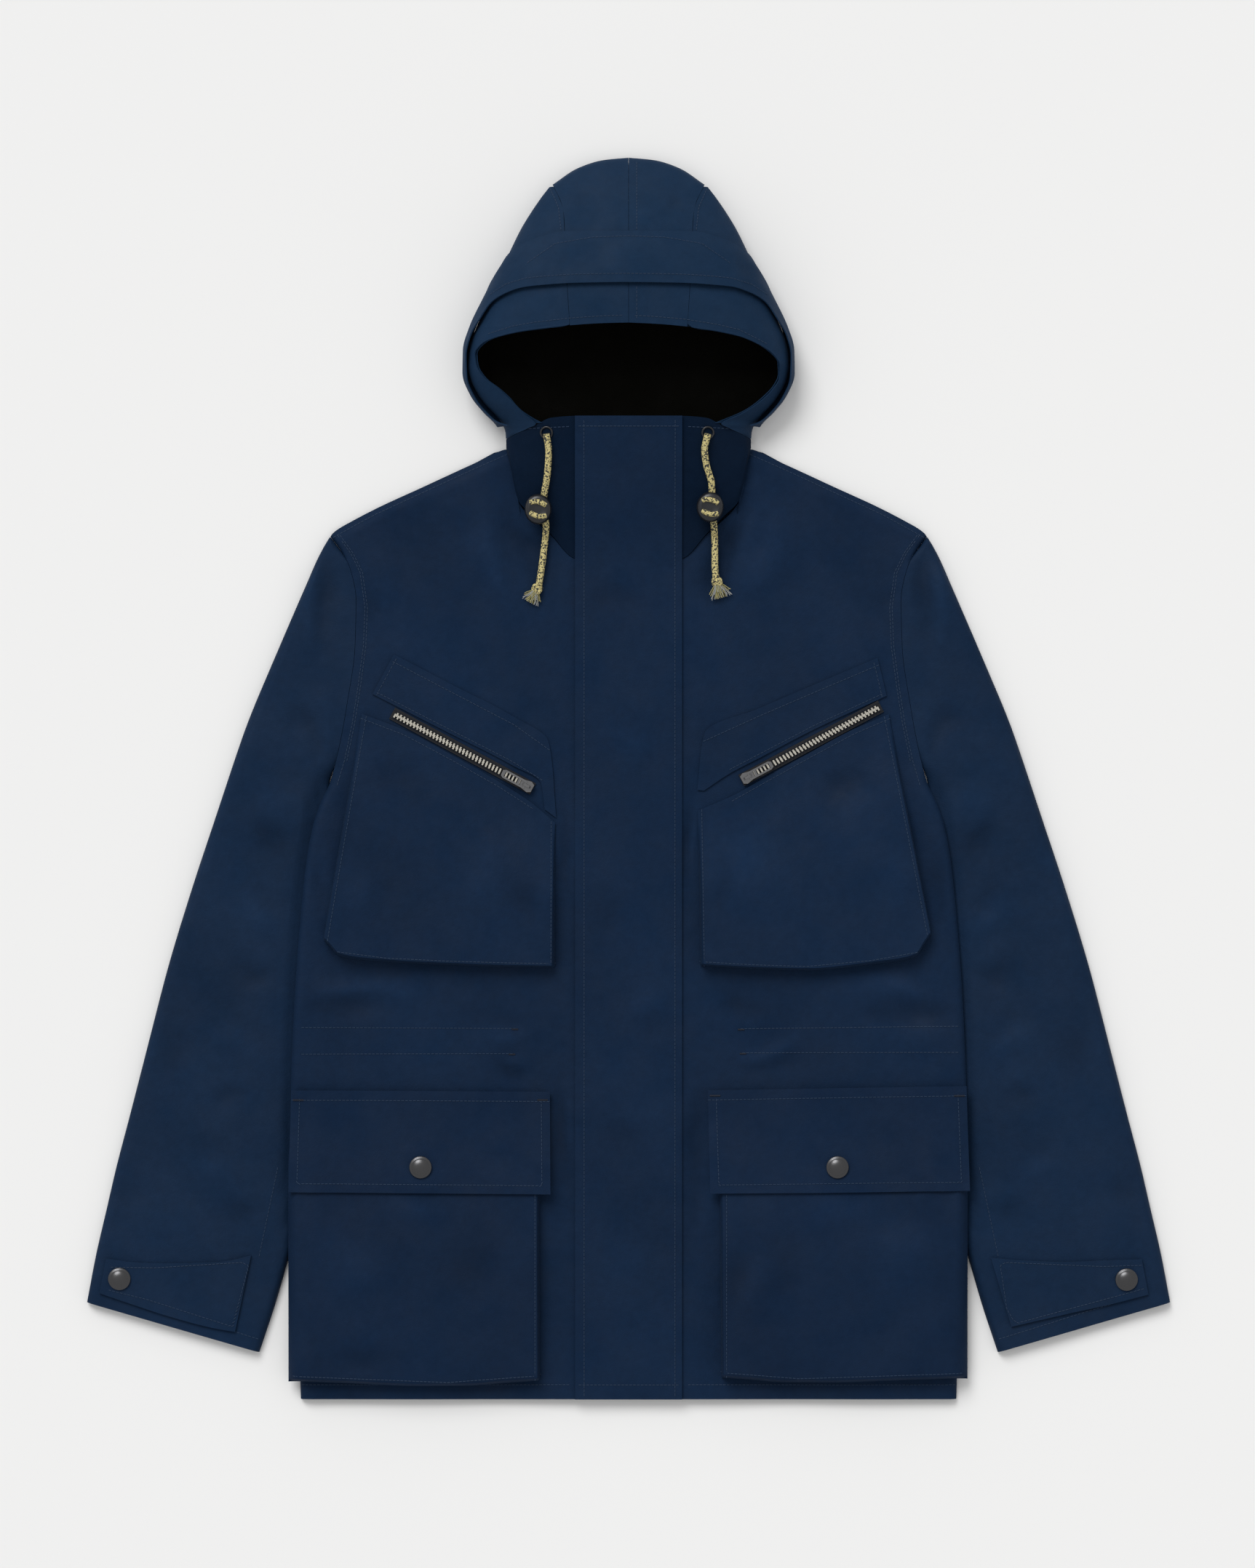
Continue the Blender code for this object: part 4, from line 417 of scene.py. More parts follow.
RIM_RIGHT = [
    RimRow(371.5, 0.0, 13.0, 0.0), RimRow(370.5, 22.0, 13.0, 0.0), RimRow(368.5, 47.0, 13.0, -1.0),
    RimRow(365.0, 72.0, 12.0, -3.0), RimRow(360.5, 93.0, 10.0, -6.0), RimRow(350.0, 115.0, 6.0, -10.0),
    RimRow(340.0, 124.0, 1.0, -14.0), RimRow(330.0, 124.5, 0.0, -15.0), RimRow(321.0, 120.5, 0.0, -17.0),
    RimRow(311.0, 111.0, 0.0, -18.0), RimRow(303.0, 101.0, 0.0, -18.0), RimRow(298.0, 92.0, 0.0, -18.0),
    RimRow(293.0, 79.0, 0.0, -20.0), RimRow(290.0, 71.0, 0.0, -19.0),
]
# Seams between the crown strip and the sides: over the hood, and along its back.
CROWN_SEAM = [
    EdgeRow(368.0, 48.0), EdgeRow(400.0, 50.0), EdgeRow(449.0, 52.6),
    EdgeRow(461.0, 52.8), EdgeRow(474.0, 56.0), EdgeRow(488.0, 62.6),
]
BACK_SEAM = [
    EdgeRow(270.0, 45.0), EdgeRow(440.0, 47.0), EdgeRow(474.0, 50.0), EdgeRow(488.0, 52.0),
]
CROWN_NOSE = [
    TopRow(0.0, 511.2), TopRow(20.9, 509.2), TopRow(41.8, 502.6), TopRow(62.6, 489.0),
]
# Storm flap of the hood: its sewn line and its free edge, in the hood's own
# coordinates.  An angle of 90 is the crown, 0 the widest line and -90 the floor.
STORM_FLAP = [
    FlapRow(446.7, 90.0, 2.3, 403.5, 90.0, 4.6), FlapRow(446.7, 73.0, 2.3, 403.3, 79.0, 4.6),
    FlapRow(446.7, 57.4, 2.3, 403.0, 68.3, 4.6), FlapRow(443.0, 43.0, 2.3, 402.0, 57.0, 4.6),
    FlapRow(438.0, 30.0, 2.3, 400.5, 45.0, 4.6), FlapRow(429.0, 11.5, 2.3, 396.0, 32.0, 4.4),
    FlapRow(414.0, -8.0, 2.3, 388.5, 22.0, 4.6), FlapRow(400.0, -20.0, 2.3, 376.0, 17.0, 5.0),
    FlapRow(382.0, -25.0, 2.3, 361.0, 12.0, 5.2), FlapRow(362.0, -28.0, 2.3, 346.0, 11.0, 5.4),
    FlapRow(342.0, -30.0, 1.6, 330.0, 10.0, 5.6), FlapRow(324.0, -34.0, 1.4, 315.0, 9.0, 6.0),
    FlapRow(308.0, -40.0, 1.2, 303.0, 9.0, 5.8), FlapRow(296.0, -48.0, 1.2, 295.0, 12.0, 5.0),
    FlapRow(290.5, -50.0, 1.2, 291.5, 22.0, 4.8),
]


def read(table, key, value, at):
    """Value of one column where another column has the value `at`, on a smooth curve."""
    rows = sorted(table, key=lambda row: getattr(row, key))
    keys = [getattr(row, key) for row in rows]
    values = [getattr(row, value) for row in rows]
    if at <= keys[0]:
        return values[0]
    if at >= keys[-1]:
        return values[-1]
    i = max(n for n, k in enumerate(keys[:-1]) if k <= at)
    slopes = []
    for n in (i, i + 1):
        low = max(n - 1, 0)
        high = min(n + 1, len(keys) - 1)
        slopes.append((values[high] - values[low]) / (keys[high] - keys[low]))
    span = keys[i + 1] - keys[i]
    t = (at - keys[i]) / span
    rise = values[i + 1] - values[i]
    eased = t * t * (3.0 - 2.0 * t)
    bend = span * (slopes[0] * t * (1.0 - t) ** 2 - slopes[1] * t * t * (1.0 - t))
    steep = abs(slopes[0]) + abs(slopes[1])
    if steep * span > 4.0 * abs(rise):
        bend *= 4.0 * abs(rise) / (steep * span)
    return values[i] + rise * eased + bend


def smooth_step(t):
    t = min(max(t, 0.0), 1.0)
    return t * t * (3.0 - 2.0 * t)


def mix(a, b, t):
    return a + (b - a) * t


def rounded(distance, radius):
    """Rise of a quarter round, 0 at its edge and 1 past its radius."""
    t = min(max(distance / radius, 0.0), 1.0)
    return math.sqrt(1.0 - (1.0 - t) ** 2)


def body_half(y):
    if y < ARMPIT_Y:
        return read(BODY_EDGE, "y", "half_width", y)
    return read(ARMHOLE, "y", "half_width", min(y, SHOULDER_POINT[1]))


def shoulder_y(x):
    slope = (NECK_POINT[1] - SHOULDER_POINT[1]) / (SHOULDER_POINT[0] - NECK_POINT[0])
    if x < NECK_POINT[0]:
        return NECK_POINT[1] + (NECK_POINT[0] - x) * slope
    return read(SHOULDER_LINE, "x", "y", x)


def sleeve_inner_x(y):
    table = UNDERARM if y < ARMPIT_Y else ARMHOLE
    return read(table, "y", "half_width", y)


def sewn_to_sleeve(y):
    """1 along the armhole seam, where the cloth doesn't round over, and 0 past its ends."""
    return smooth_step((y - ARMPIT_Y - 1.0) / 16.0) * smooth_step((196.0 - y) / 14.0)


def tuck_lift(x, y):
    """How far the sleeve under the body carries the back up at a place."""
    start = read(UNDERARM, "y", "half_width", y) - TUCK_RAMP
    return read(TUCK_LIFT, "y", "height", y) * smooth_step((abs(x) - start) / TUCK_RAMP)


def front_height(x, y):
    """Upper face of a front panel."""
    x = abs(x)
    lift = tuck_lift(x, y)
    flat = read(FRONT_HEIGHT, "y", "height", y) + 0.42 * lift
    foot = lift + CLOTH + LAYER_GAP
    side_roll = rounded(body_half(y) - x, EDGE_ROLL)
    side_roll = max(side_roll, sewn_to_sleeve(y))
    shoulder_roll = rounded((shoulder_y(x) - y) * 0.9, EDGE_ROLL)
    return mix(foot, flat, min(side_roll, shoulder_roll))


def collar_height(x, y):
    half = read(COLLAR_HALF, "y", "half_width", y)
    crown = read(COLLAR_CROWN, "y", "height", y)
    foot = read(COLLAR_FOOT, "y", "height", y)
    t = min(abs(x) / half, 1.0)
    return foot + (crown - foot) * (1.0 - t ** COLLAR_ARCH) ** (1.0 / COLLAR_ARCH)


def neck_seam_y(x):
    x = min(abs(x), NECK_POINT[0])
    for near, far in zip(NECK_SEAM, NECK_SEAM[1:]):
        if x <= far.x:
            return mix(near.y, far.y, (x - near.x) / (far.x - near.x))
    return NECK_POINT[1]


def top_height(x, y):
    """Upper face of the fronts and of the collar that rises from them."""
    if abs(x) < NECK_POINT[0] and y > neck_seam_y(x):
        return max(collar_height(x, y), front_height(x, neck_seam_y(x)))
    return front_height(x, y)


def hood_point(side, y, angle, off=0.0):
    """Point on the outer face of the hood, moved out along its normal by `off`."""
    def place(at_y, at_angle):
        half = read(HOOD, "y", "half_width", at_y)
        crown = read(HOOD, "y", "crown_height", at_y)
        widest = read(HOOD, "y", "widest_height", at_y)
        turn = math.radians(min(max(at_angle, -90.0), 90.0))
        if turn >= 0.0:
            power = 2.0 / HOOD_ARCH
            x = half * max(math.cos(turn), 0.0) ** power
            z = widest + (crown - widest) * math.sin(turn) ** power
        else:
            foot = min(HOOD_FOOT, half * 0.45)
            x = half - foot * (1.0 - math.cos(turn))
            z = widest * (1.0 - math.sin(-turn))
        return Vector((side * x, at_y, z))

    point = place(y, angle)
    if off:
        along = place(y + 1.0, angle) - place(y - 1.0, angle)
        round_it = place(y, angle + 2.0) - place(y, angle - 2.0)
        normal = along.cross(round_it) * side
        if normal.length < 1e-6:
            normal = Vector((0.0, 0.0, -1.0 if angle < 0.0 else 1.0))
        point = point + normal.normalized() * off
    return point


def hood_angle(x, y):
    """Angle round the hood's section at which its upper half has a given x."""
    half = read(HOOD, "y", "half_width", y)
    t = min(abs(x) / half, 1.0)
    return math.degrees(math.acos(t ** (HOOD_ARCH / 2.0)))


# Cut size of each piece in metres, (across, along) the cloth, and the share of that
# rectangle that the piece's outline fills.
CutSize = namedtuple("CutSize", "across along filled")


# ---- cloth ----------------------------------------------------------------

CREASE_DEPTH = 1.5         # the folds of the fronts and sleeves are this many times as deep as listed
DARKEST_FOLD = 2.6         # depth at which a fold is as dark, or a ridge as light, as it gets
Crease = namedtuple("Crease", "x0 y0 x1 y1 width height bend")

# Folds listed one by one, in millimetres as seen from above; heights over zero are
# ridges and under zero troughs.  The first list runs through everything that is
# stacked on the fronts.
BODY_CREASES = [
    Crease(-95, 225, -60, 110, 13, -2.6, 6), Crease(-120, 205, -84, 120, 12, 1.8, -5),
    Crease(97, 228, 58, 95, 13, -3.0, -7), Crease(124, 214, 80, 112, 12, 1.9, 6),
    Crease(-225, 150, -196, 112, 14, -1.5, 3), Crease(226, 158, 212, 116, 13, -1.5, -3),
    Crease(-262, -60, -252, -140, 7, -1.6, 2), Crease(262, -70, 256, -150, 7, -1.6, -2),
    Crease(-250, -176, -120, -186, 12, 1.9, 5), Crease(-272, -190, -160, -176, 9, -1.6, -4),
    Crease(-130, -218, -52, -212, 9, 1.7, 3), Crease(-110, -238, -58, -246, 9, -1.5, -2),
    Crease(248, -180, 130, -172, 12, 1.9, -5), Crease(268, -196, 150, -188, 9, -1.7, 4),
    Crease(140, -218, 60, -236, 10, 1.9, 4), Crease(112, -194, 54, -184, 9, -1.6, -3),
    Crease(-54, -20, -50, -150, 5, -1.4, 1), Crease(50, -10, 50, -140, 5, -1.4, -1),
    Crease(-58, -250, -52, -420, 8, -1.5, 3), Crease(60, -262, 54, -430, 8, -1.8, -3),
    Crease(-30, 150, 24, 128, 15, -1.2, 5), Crease(-20, 40, 30, -12, 18, 1.1, 6),
    Crease(-34, -96, 20, -130, 17, -1.0, -5), Crease(30, -170, -26, -214, 17, 1.2, 6),
    Crease(-20, -284, 32, -330, 18, -1.1, 5), Crease(18, -392, -30, -430, 16, 1.0, -4),
    Crease(-206, 12, -150, -58, 22, -1.7, 8), Crease(-110, -52, -150, -132, 24, 1.4, 8),
    Crease(-228, -70, -196, -136, 16, 1.2, -4), Crease(-90, -78, -76, -146, 12, -1.2, 3),
    Crease(198, 8, 142, -60, 22, -1.7, -8), Crease(100, -40, 128, -126, 24, 1.4, -8),
    Crease(226, -62, 200, -140, 16, 1.2, 4), Crease(84, -64, 74, -138, 12, -1.2, -3),
    Crease(-250, -378, -196, -462, 26, 1.5, 9), Crease(-130, -366, -104, -470, 26, -1.4, -8),
    Crease(-200, -352, -120, -372, 15, 1.2, 4), Crease(-240, -478, -130, -488, 12, -1.1, 3),
    Crease(246, -372, 200, -470, 26, 1.5, -9), Crease(128, -372, 112, -466, 26, -1.5, 7),
    Crease(204, -356, 110, -368, 15, 1.2, -4), Crease(96, -374, 88, -480, 10, -1.4, -3),
]
SLEEVE_CREASES = [
    Crease(246, 182, 244, 60, 8, -1.9, 3), Crease(262, 178, 266, 70, 13, 1.3, -5),
    Crease(250, 20, 292, 74, 12, -1.6, 6), Crease(262, -34, 316, 16, 14, 1.5, -7),
    Crease(276, -70, 336, -18, 12, -1.5, 6), Crease(284, -130, 352, -96, 15, 1.6, 8),
    Crease(290, -164, 344, -140, 11, -1.5, -6), Crease(350, -60, 376, -130, 12, 1.2, 6),
    Crease(300, -232, 366, -206, 14, 1.4, 8), Crease(312, -262, 352, -250, 9, -1.3, -5),
    Crease(370, -190, 394, -290, 15, -1.3, -8), Crease(322, -330, 392, -318, 16, 1.2, 7),
    Crease(300, -356, 356, -372, 11, -1.2, 5), Crease(410, -330, 420, -398, 12, -1.0, 4),
]
HOOD_CREASES = [
    Crease(-96, 350, -70, 300, 8, -1.4, 3), Crease(-112, 400, -66, 440, 12, -1.4, 6),
    Crease(-40, 462, -30, 500, 10, -1.2, 3), Crease(98, 350, 74, 300, 8, -1.4, -3),
    Crease(108, 396, 64, 442, 12, -1.4, -6), Crease(36, 460, 28, 500, 10, -1.2, -3),
    Crease(-24, 418, 30, 428, 11, 1.2, 3), Crease(-80, 386, -30, 398, 9, 1.0, 3),
    Crease(82, 386, 34, 396, 9, 1.0, -3), Crease(4, 470, 18, 440, 10, 1.0, 3),
]
BACK_CREASES = [
    Crease(-180, 120, -120, -60, 22, 1.1, 9), Crease(140, 140, 190, -40, 22, 1.0, -9),
    Crease(-90, -140, -170, -330, 26, 1.1, 10), Crease(80, -120, 150, -300, 26, 1.1, -10),
    Crease(-40, 60, 60, 20, 20, 0.9, 6), Crease(-60, -390, 60, -430, 24, 1.0, 7),
]
FLAT_SPOTS = [(-171.0, -320.1, 15.0), (171.6, -320.1, 15.0), (-74.3, 220.6, 17.0), (66.9, 222.3, 17.0),
              (-84.0, -6.4, 20.0), (98.0, 0.6, 20.0)]


def crease_lift(creases, x, y):
    """Height of the folds over many plan points, soft and uneven along each fold."""
    total = np.zeros_like(x)
    for number, fold in enumerate(creases):
        run = np.array((fold.x1 - fold.x0, fold.y1 - fold.y0), dtype=float)
        length = float(np.hypot(*run))
        run /= length
        dx = x - fold.x0
        dy = y - fold.y0
        along = (dx * run[0] + dy * run[1]) / length
        bow = fold.bend * (1.0 - (2.0 * along - 1.0) ** 2)
        off = dy * run[0] - dx * run[1] - bow + 1.6 * np.sin(9.0 * along + number)
        ends = np.clip(along * 1.25 + 0.125, 0.0, 1.0)
        taper = np.sin(np.pi * ends) ** 1.4
        width = fold.width * (0.85 + 0.25 * np.sin(5.0 * along + 2.0 * number))
        reach = off / width
        hump = np.exp(-reach * reach) - 0.35 * np.exp(-((reach - 1.5) ** 2))
        total += fold.height * taper * (1.0 + 0.25 * np.sin(11.0 * along + number)) * hump
    return total


def soft_step(t):
    t = np.clip(t, 0.0, 1.0)
    return t * t * (3.0 - 2.0 * t)


def table_column(table, key, value, at):
    keys = np.array([getattr(row, key) for row in table])
    values = np.array([getattr(row, value) for row in table])
    order = np.argsort(keys)
    return np.interp(at, keys[order], values[order])


def body_lift(x, y):
    """Folds of the fronts and of all that lies on them; flat at the seams and under fittings."""
    lift = crease_lift(BODY_CREASES, x, y) * CREASE_DEPTH
    lift += 0.5 * np.sin(x * 0.031 + 1.0) * np.sin(y * 0.023) + 0.35 * np.sin(x * 0.052 + y * 0.041)
    out = np.abs(x)
    edge = np.where(y < ARMPIT_Y, table_column(BODY_EDGE, "y", "half_width", y),
                    table_column(ARMHOLE, "y", "half_width", y))
    lift *= soft_step((edge - out - 2.0) / 16.0)
    lift *= soft_step((table_column(SHOULDER_LINE, "x", "y", out) - y - 2.0) / 16.0)
    for spot_x, spot_y, radius in FLAT_SPOTS:
        away = np.hypot(x - spot_x, y - spot_y)
        lift *= soft_step((away - radius) / 14.0)
    for label, side in (("left", -1.0), ("right", 1.0)):
        outer, inner = ZIP_LINE[label]
        ax, ay, bx, by = side * outer.x, outer.y, side * inner.x, inner.y
        length2 = (bx - ax) ** 2 + (by - ay) ** 2
        share = np.clip(((x - ax) * (bx - ax) + (y - ay) * (by - ay)) / length2, 0.0, 1.0)
        away = np.hypot(x - ax - share * (bx - ax), y - ay - share * (by - ay))
        lift *= soft_step((away - 6.0) / 16.0)
    return lift


STACKED = ("front_", "placket", "chest_", "lower_bag", "pocket_flap")

# How the name of a piece begins, and its finish and the size of its mesh cells.
FINISH_OF = (("collar", "collar"), ("sleeve", "sleeve"), ("cuff_tab", "sleeve"),
             ("hood_lining", "lining"), ("hood_", "hood"), ("lower_bag", "pocket"),
             ("pocket_flap", "pocket"), ("zip_tape", "zip_tape"))
STEP_OF = (("back", 11.0), ("front", 3.6), ("placket", 3.0), ("sleeve", 4.2), ("hood_lining", 5.0),
           ("zip_tape", 4.0), ("hood", 2.8), ("collar", 3.0))


def lookup(rows, name, otherwise):
    for start, value in rows:
        if name.startswith(start):
            return value
    return otherwise


def smooth_between(points, counts):
    """Points of every row made finer along it, through the given ones and with no overshoot."""
    steps = np.linalg.norm(np.diff(points, axis=1), axis=2)
    steps = np.maximum(steps, 1e-4)
    slope = np.diff(points, axis=1) / steps[:, :, None]
    tangent = np.empty_like(points)
    tangent[:, 0] = slope[:, 0]
    tangent[:, -1] = slope[:, -1]
    before, after = slope[:, :-1], slope[:, 1:]
    first = 2.0 * steps[:, 1:] + steps[:, :-1]
    second = steps[:, 1:] + 2.0 * steps[:, :-1]
    same = before * after > 0.0
    safe_before = np.where(same, before, 1.0)
    safe_after = np.where(same, after, 1.0)
    weighed = first[:, :, None] / safe_before + second[:, :, None] / safe_after
    mean = (first + second)[:, :, None] / weighed
    tangent[:, 1:-1] = np.where(same, mean, 0.0)
    pieces = []
    for cell, count in enumerate(counts):
        t = (np.arange(count) / count)[None, :, None]
        h = steps[:, cell][:, None, None]
        a, b = points[:, cell][:, None, :], points[:, cell + 1][:, None, :]
        ma, mb = tangent[:, cell][:, None, :], tangent[:, cell + 1][:, None, :]
        pieces.append((2 * t**3 - 3 * t**2 + 1) * a + (t**3 - 2 * t**2 + t) * h * ma
                      + (-2 * t**3 + 3 * t**2) * b + (t**3 - t**2) * h * mb)
    pieces.append(points[:, -1:])
    return np.concatenate(pieces, axis=1)


def cell_counts(points, step):
    longest = np.linalg.norm(np.diff(points, axis=1), axis=2).max(axis=0)
    return [max(1, int(round(v / step))) for v in longest]


def sheet_normals(fine, up):
    down = np.gradient(fine, axis=0)
    across = np.gradient(fine, axis=1)
    normal = np.cross(across, down)
    length = np.linalg.norm(normal, axis=2, keepdims=True)
    return normal / np.maximum(length, 1e-9) * up


def fold_cloth(name, fine, normals):
    """Folds laid into a piece, and the painted light on their ridges and painted shade in their troughs."""
    x, y = fine[:, :, 0], fine[:, :, 1]
    upward = soft_step((normals[:, :, 2] - 0.15) / 0.6)
    if name.startswith(STACKED):
        lift = body_lift(x, y)
        fine[:, :, 2] += lift
    elif name.startswith("sleeve") or name.startswith("cuff_tab"):
        lift = crease_lift(SLEEVE_CREASES, np.abs(x) + 3.0 * np.sign(x), y) * CREASE_DEPTH
        lift += 0.3 * np.sin(x * 0.045 + y * 0.03) + 0.3 * np.sin(y * 0.05 + 1.0)
        snap = CUFF_SNAP["left" if x.mean() < 0.0 else "right"]
        away = np.hypot(np.abs(x) - snap.x, y - snap.y)
        lift = lift * upward * soft_step((away - 14.0) / 12.0)
        edge = table_column(ARMHOLE, "y", "half_width", y)
        lift *= np.where(y > ARMPIT_Y, soft_step((np.abs(x) - edge) / 10.0), 1.0)
        fine[:, :, 2] += lift
    elif name == "back":
        lift = np.maximum(crease_lift(BACK_CREASES, x, y), 0.0)
        fine[:, :, 2] += lift
    elif name.startswith(("hood_side", "hood_crown", "hood_storm")):
        lift = crease_lift(HOOD_CREASES, x, y) * upward * 0.8
        fine += normals * lift[:, :, None]
    else:
        lift = np.zeros_like(x)
    return np.clip(lift / DARKEST_FOLD, -1.0, 1.0)


def add_piece(name, mesh):
    made = bpy.data.objects.new(name + "_fine", mesh)
    bpy.context.scene.collection.objects.link(made)
    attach(made, "garment")
    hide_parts(name)
    return made


def shell_mesh(name, outer_face, inner_face, up):
    """Closed mesh of a piece of cloth between its two faces."""
    rows, cols = outer_face.shape[:2]
    points = np.concatenate((outer_face.reshape(-1, 3), inner_face.reshape(-1, 3))) * MM
    count = rows * cols
    index = np.arange(count).reshape(rows, cols)
    corners = (index[:-1, :-1], index[:-1, 1:], index[1:, 1:], index[1:, :-1])
    quads = np.stack(corners, axis=-1).reshape(-1, 4)
    if up < 0:
        quads = quads[:, ::-1]
    faces = [tuple(q) for q in quads.tolist()]
    faces += [tuple(q) for q in (quads[:, ::-1] + count).tolist()]
    rim = list(index[0, :]) + list(index[1:, -1]) + list(index[-1, -2::-1]) + list(index[-2:0:-1, 0])
    rim = [int(v) for v in rim]
    for a, b in zip(rim, rim[1:] + rim[:1]):
        quad = (a, a + count, b + count, b)
        faces.append(quad if up > 0 else quad[::-1])
    mesh = bpy.data.meshes.new(name)
    mesh.from_pydata(points.tolist(), [], faces)
    shape = bmesh.new()
    shape.from_mesh(mesh)
    bmesh.ops.recalc_face_normals(shape, faces=shape.faces)
    shape.to_mesh(mesh)
    shape.free()
    mesh.shade_smooth()
    mesh.set_sharp_from_angle(angle=math.radians(50.0))
    return mesh


def wall(name, grid, thickness, up):
    """Fine thin shell on the form of a cloth piece; `grid` is its outer face."""
    coarse = np.array([[tuple(p) for p in row] for row in grid], dtype=float)
    step = lookup(STEP_OF, name, 3.2)
    fine = smooth_between(coarse, cell_counts(coarse, step))
    turned = fine.transpose(1, 0, 2)
    fine = smooth_between(turned, cell_counts(turned, step)).transpose(1, 0, 2).copy()
    shade = fold_cloth(name, fine, sheet_normals(fine, up)).ravel()
    inner_face = fine - sheet_normals(fine, up) * (thickness - SHELL_TRIM)
    mesh = shell_mesh(name, fine, inner_face, up)
    # Painted shade of the folds, lighter on ridges and darker in troughs, half as strong on the inner face.
    painted_fold_shade_layer = mesh.attributes.new("crease_shade", "FLOAT", "POINT")
    painted_fold_shade_layer.data.foreach_set("value", np.concatenate((shade, shade * 0.5)).astype(np.float32))
    mesh.materials.append(FINISHES[lookup(FINISH_OF, name, "navy_waxed_cotton")])
    piece = add_piece(name, mesh)
    return piece


# ---- body ----------------------------------------------------------------

PANEL_SHARES = (0.0, 0.175, 0.26, 0.37, 0.411, 0.53, 0.69, 0.84, 0.93, 0.974, 0.992, 1.0)
PANEL_ROWS = (-512.0, -500.0, -470.0, -420.0, -396.0, -381.0, -365.0, -320.0, -260.0,
              -190.0, -120.0, -70.0, -37.5, -20.0, -5.0, 12.0, 32.0, 60.0)
UPPER_SHARES = (0.35, 0.62, 0.82, 0.95, 1.0)
UPPER_Y = 60.0


def panel_plan(inset, top_of):
    """Plan of half a body panel as rows of (x, y), from the hem to its top edge."""
    plan = []
    for y in PANEL_ROWS:
        half = body_half(y) - inset
        plan.append([(share * half, y) for share in PANEL_SHARES])
    for up in UPPER_SHARES:
        edge_y = mix(UPPER_Y, SHOULDER_POINT[1], up)
        half = body_half(edge_y) - inset
        row = []
        for share in PANEL_SHARES:
            top_y = top_of(share * SHOULDER_POINT[0]) - inset
            row.append((share * half, mix(UPPER_Y, top_y, up)))
        plan.append(row)
    return plan


def front_top_y(x):
    return neck_seam_y(x) if x < NECK_POINT[0] else shoulder_y(x)


def back_top_y(x):
    return NECK_POINT[1] if x < NECK_POINT[0] else shoulder_y(x)


def make_back():
    half = panel_plan(SEAM_GAP + 0.1, back_top_y)
    grid = []
    for row in half:
        line = [(-x, y) for x, y in reversed(row)] + list(row[1:])
        grid.append([(x, y, tuck_lift(x, y)) for x, y in line])
    return wall("back", grid, CLOTH, -1)


def make_front(side, label):
    grid = []
    for row in panel_plan(SEAM_GAP / 2.0, front_top_y):
        line = [(max(x, SEAM_GAP / 2.0), y) for x, y in row]
        grid.append([(side * x, y, front_height(x, y)) for x, y in line])
    return wall("front_" + label, grid, CLOTH, side)


def placket_rows():
    return list(PANEL_ROWS) + [110.0, 150.0, 172.0, 182.0, 198.0, 220.0, 250.0, 275.0, LIP_Y]


def make_placket():
    grid = []
    for y in placket_rows():
        line = []
        for x in (-PLACKET_HALF, -15.0, 15.0, PLACKET_HALF):
            line.append((x, y, top_height(x, y) + LAYER_GAP + DOUBLE_CLOTH))
        grid.append(line)
    return wall("placket", grid, DOUBLE_CLOTH, 1)


def make_collar(side, label):
    grid = []
    for up in (0.0, 0.12, 0.3, 0.55, 0.8, 1.0):
        line = []
        for x in (SEAM_GAP / 2.0, 43.0, 64.0, 78.0, 91.0, 97.0, 101.0):
            low = neck_seam_y(x) + SEAM_GAP
            high = read(COLLAR_TOP, "x", "y", x)
            y = mix(low, high, up)
            near = x - SEAM_GAP if x > 43.0 else x
            line.append((side * near, y, collar_height(near, y)))
        grid.append(line)
    return wall("collar_" + label, grid, CLOTH, side)


# ---- sleeves -------------------------------------------------------------

def sleeve_ends(row):
    """Plan of the two ends of a row across the sleeve."""
    inner_x = sleeve_inner_x(row.inner_y) + SEAM_GAP / 2.0
    return (inner_x, row.inner_y), (read(SLEEVE_OUTLINE, "y", "half_width", row.outer_y), row.outer_y)


def sleeve_top(x, y, from_inner, from_outer, height):
    """Top of the sleeve at a place, given how far it is from its two sides."""
    inner = max(rounded(from_inner, EDGE_ROLL), sewn_to_sleeve(y))
    outer = rounded(from_outer, EDGE_ROLL)
    free = mix(SLEEVE_TIP_HEIGHT, height, min(inner, outer))
    pressed = read(PRESSED_SLEEVE, "y", "height", y) + 0.5 * max(x - body_half(y) - 1.5, 0.0)
    return min(free, max(pressed, SLEEVE_TIP_HEIGHT))


def sleeve_stations(width, tuck):
    """Stations across a row: distance from the inner side, and whether on top."""
    full = max(width, 60.0)
    top = [0.0, 1.0, 3.5, max(8.0, tuck * 0.6), max(16.0, tuck + 1.0), max(24.0, tuck + 9.0)]
    top += [full * 0.6, full - 7.0, full - 3.5, full - 1.0, full]
    top = sorted(top)
    under = [full - 5.0, full * 0.5, 0.0]
    return [(d * width / full, True) for d in top] + [(d * width / full, False) for d in under]


def sleeve_line(side, row):
    inner, outer = sleeve_ends(row)
    width = math.hypot(outer[0] - inner[0], outer[1] - inner[1])
    tuck = max(body_half(row.inner_y) - inner[0], 0.0)
    points = []
    for distance, on_top in sleeve_stations(width, tuck):
        x = mix(inner[0], outer[0], distance / width)
        y = mix(inner[1], outer[1], distance / width)
        z = sleeve_top(x, y, distance, width - distance, row.height) if on_top else 0.0
        points.append((side * x, y, z))
    return points


def make_sleeve(side, label):
    grid = [sleeve_line(side, row) for row in SLEEVE_ROWS]
    return wall("sleeve_" + label, grid, CLOTH, -side)


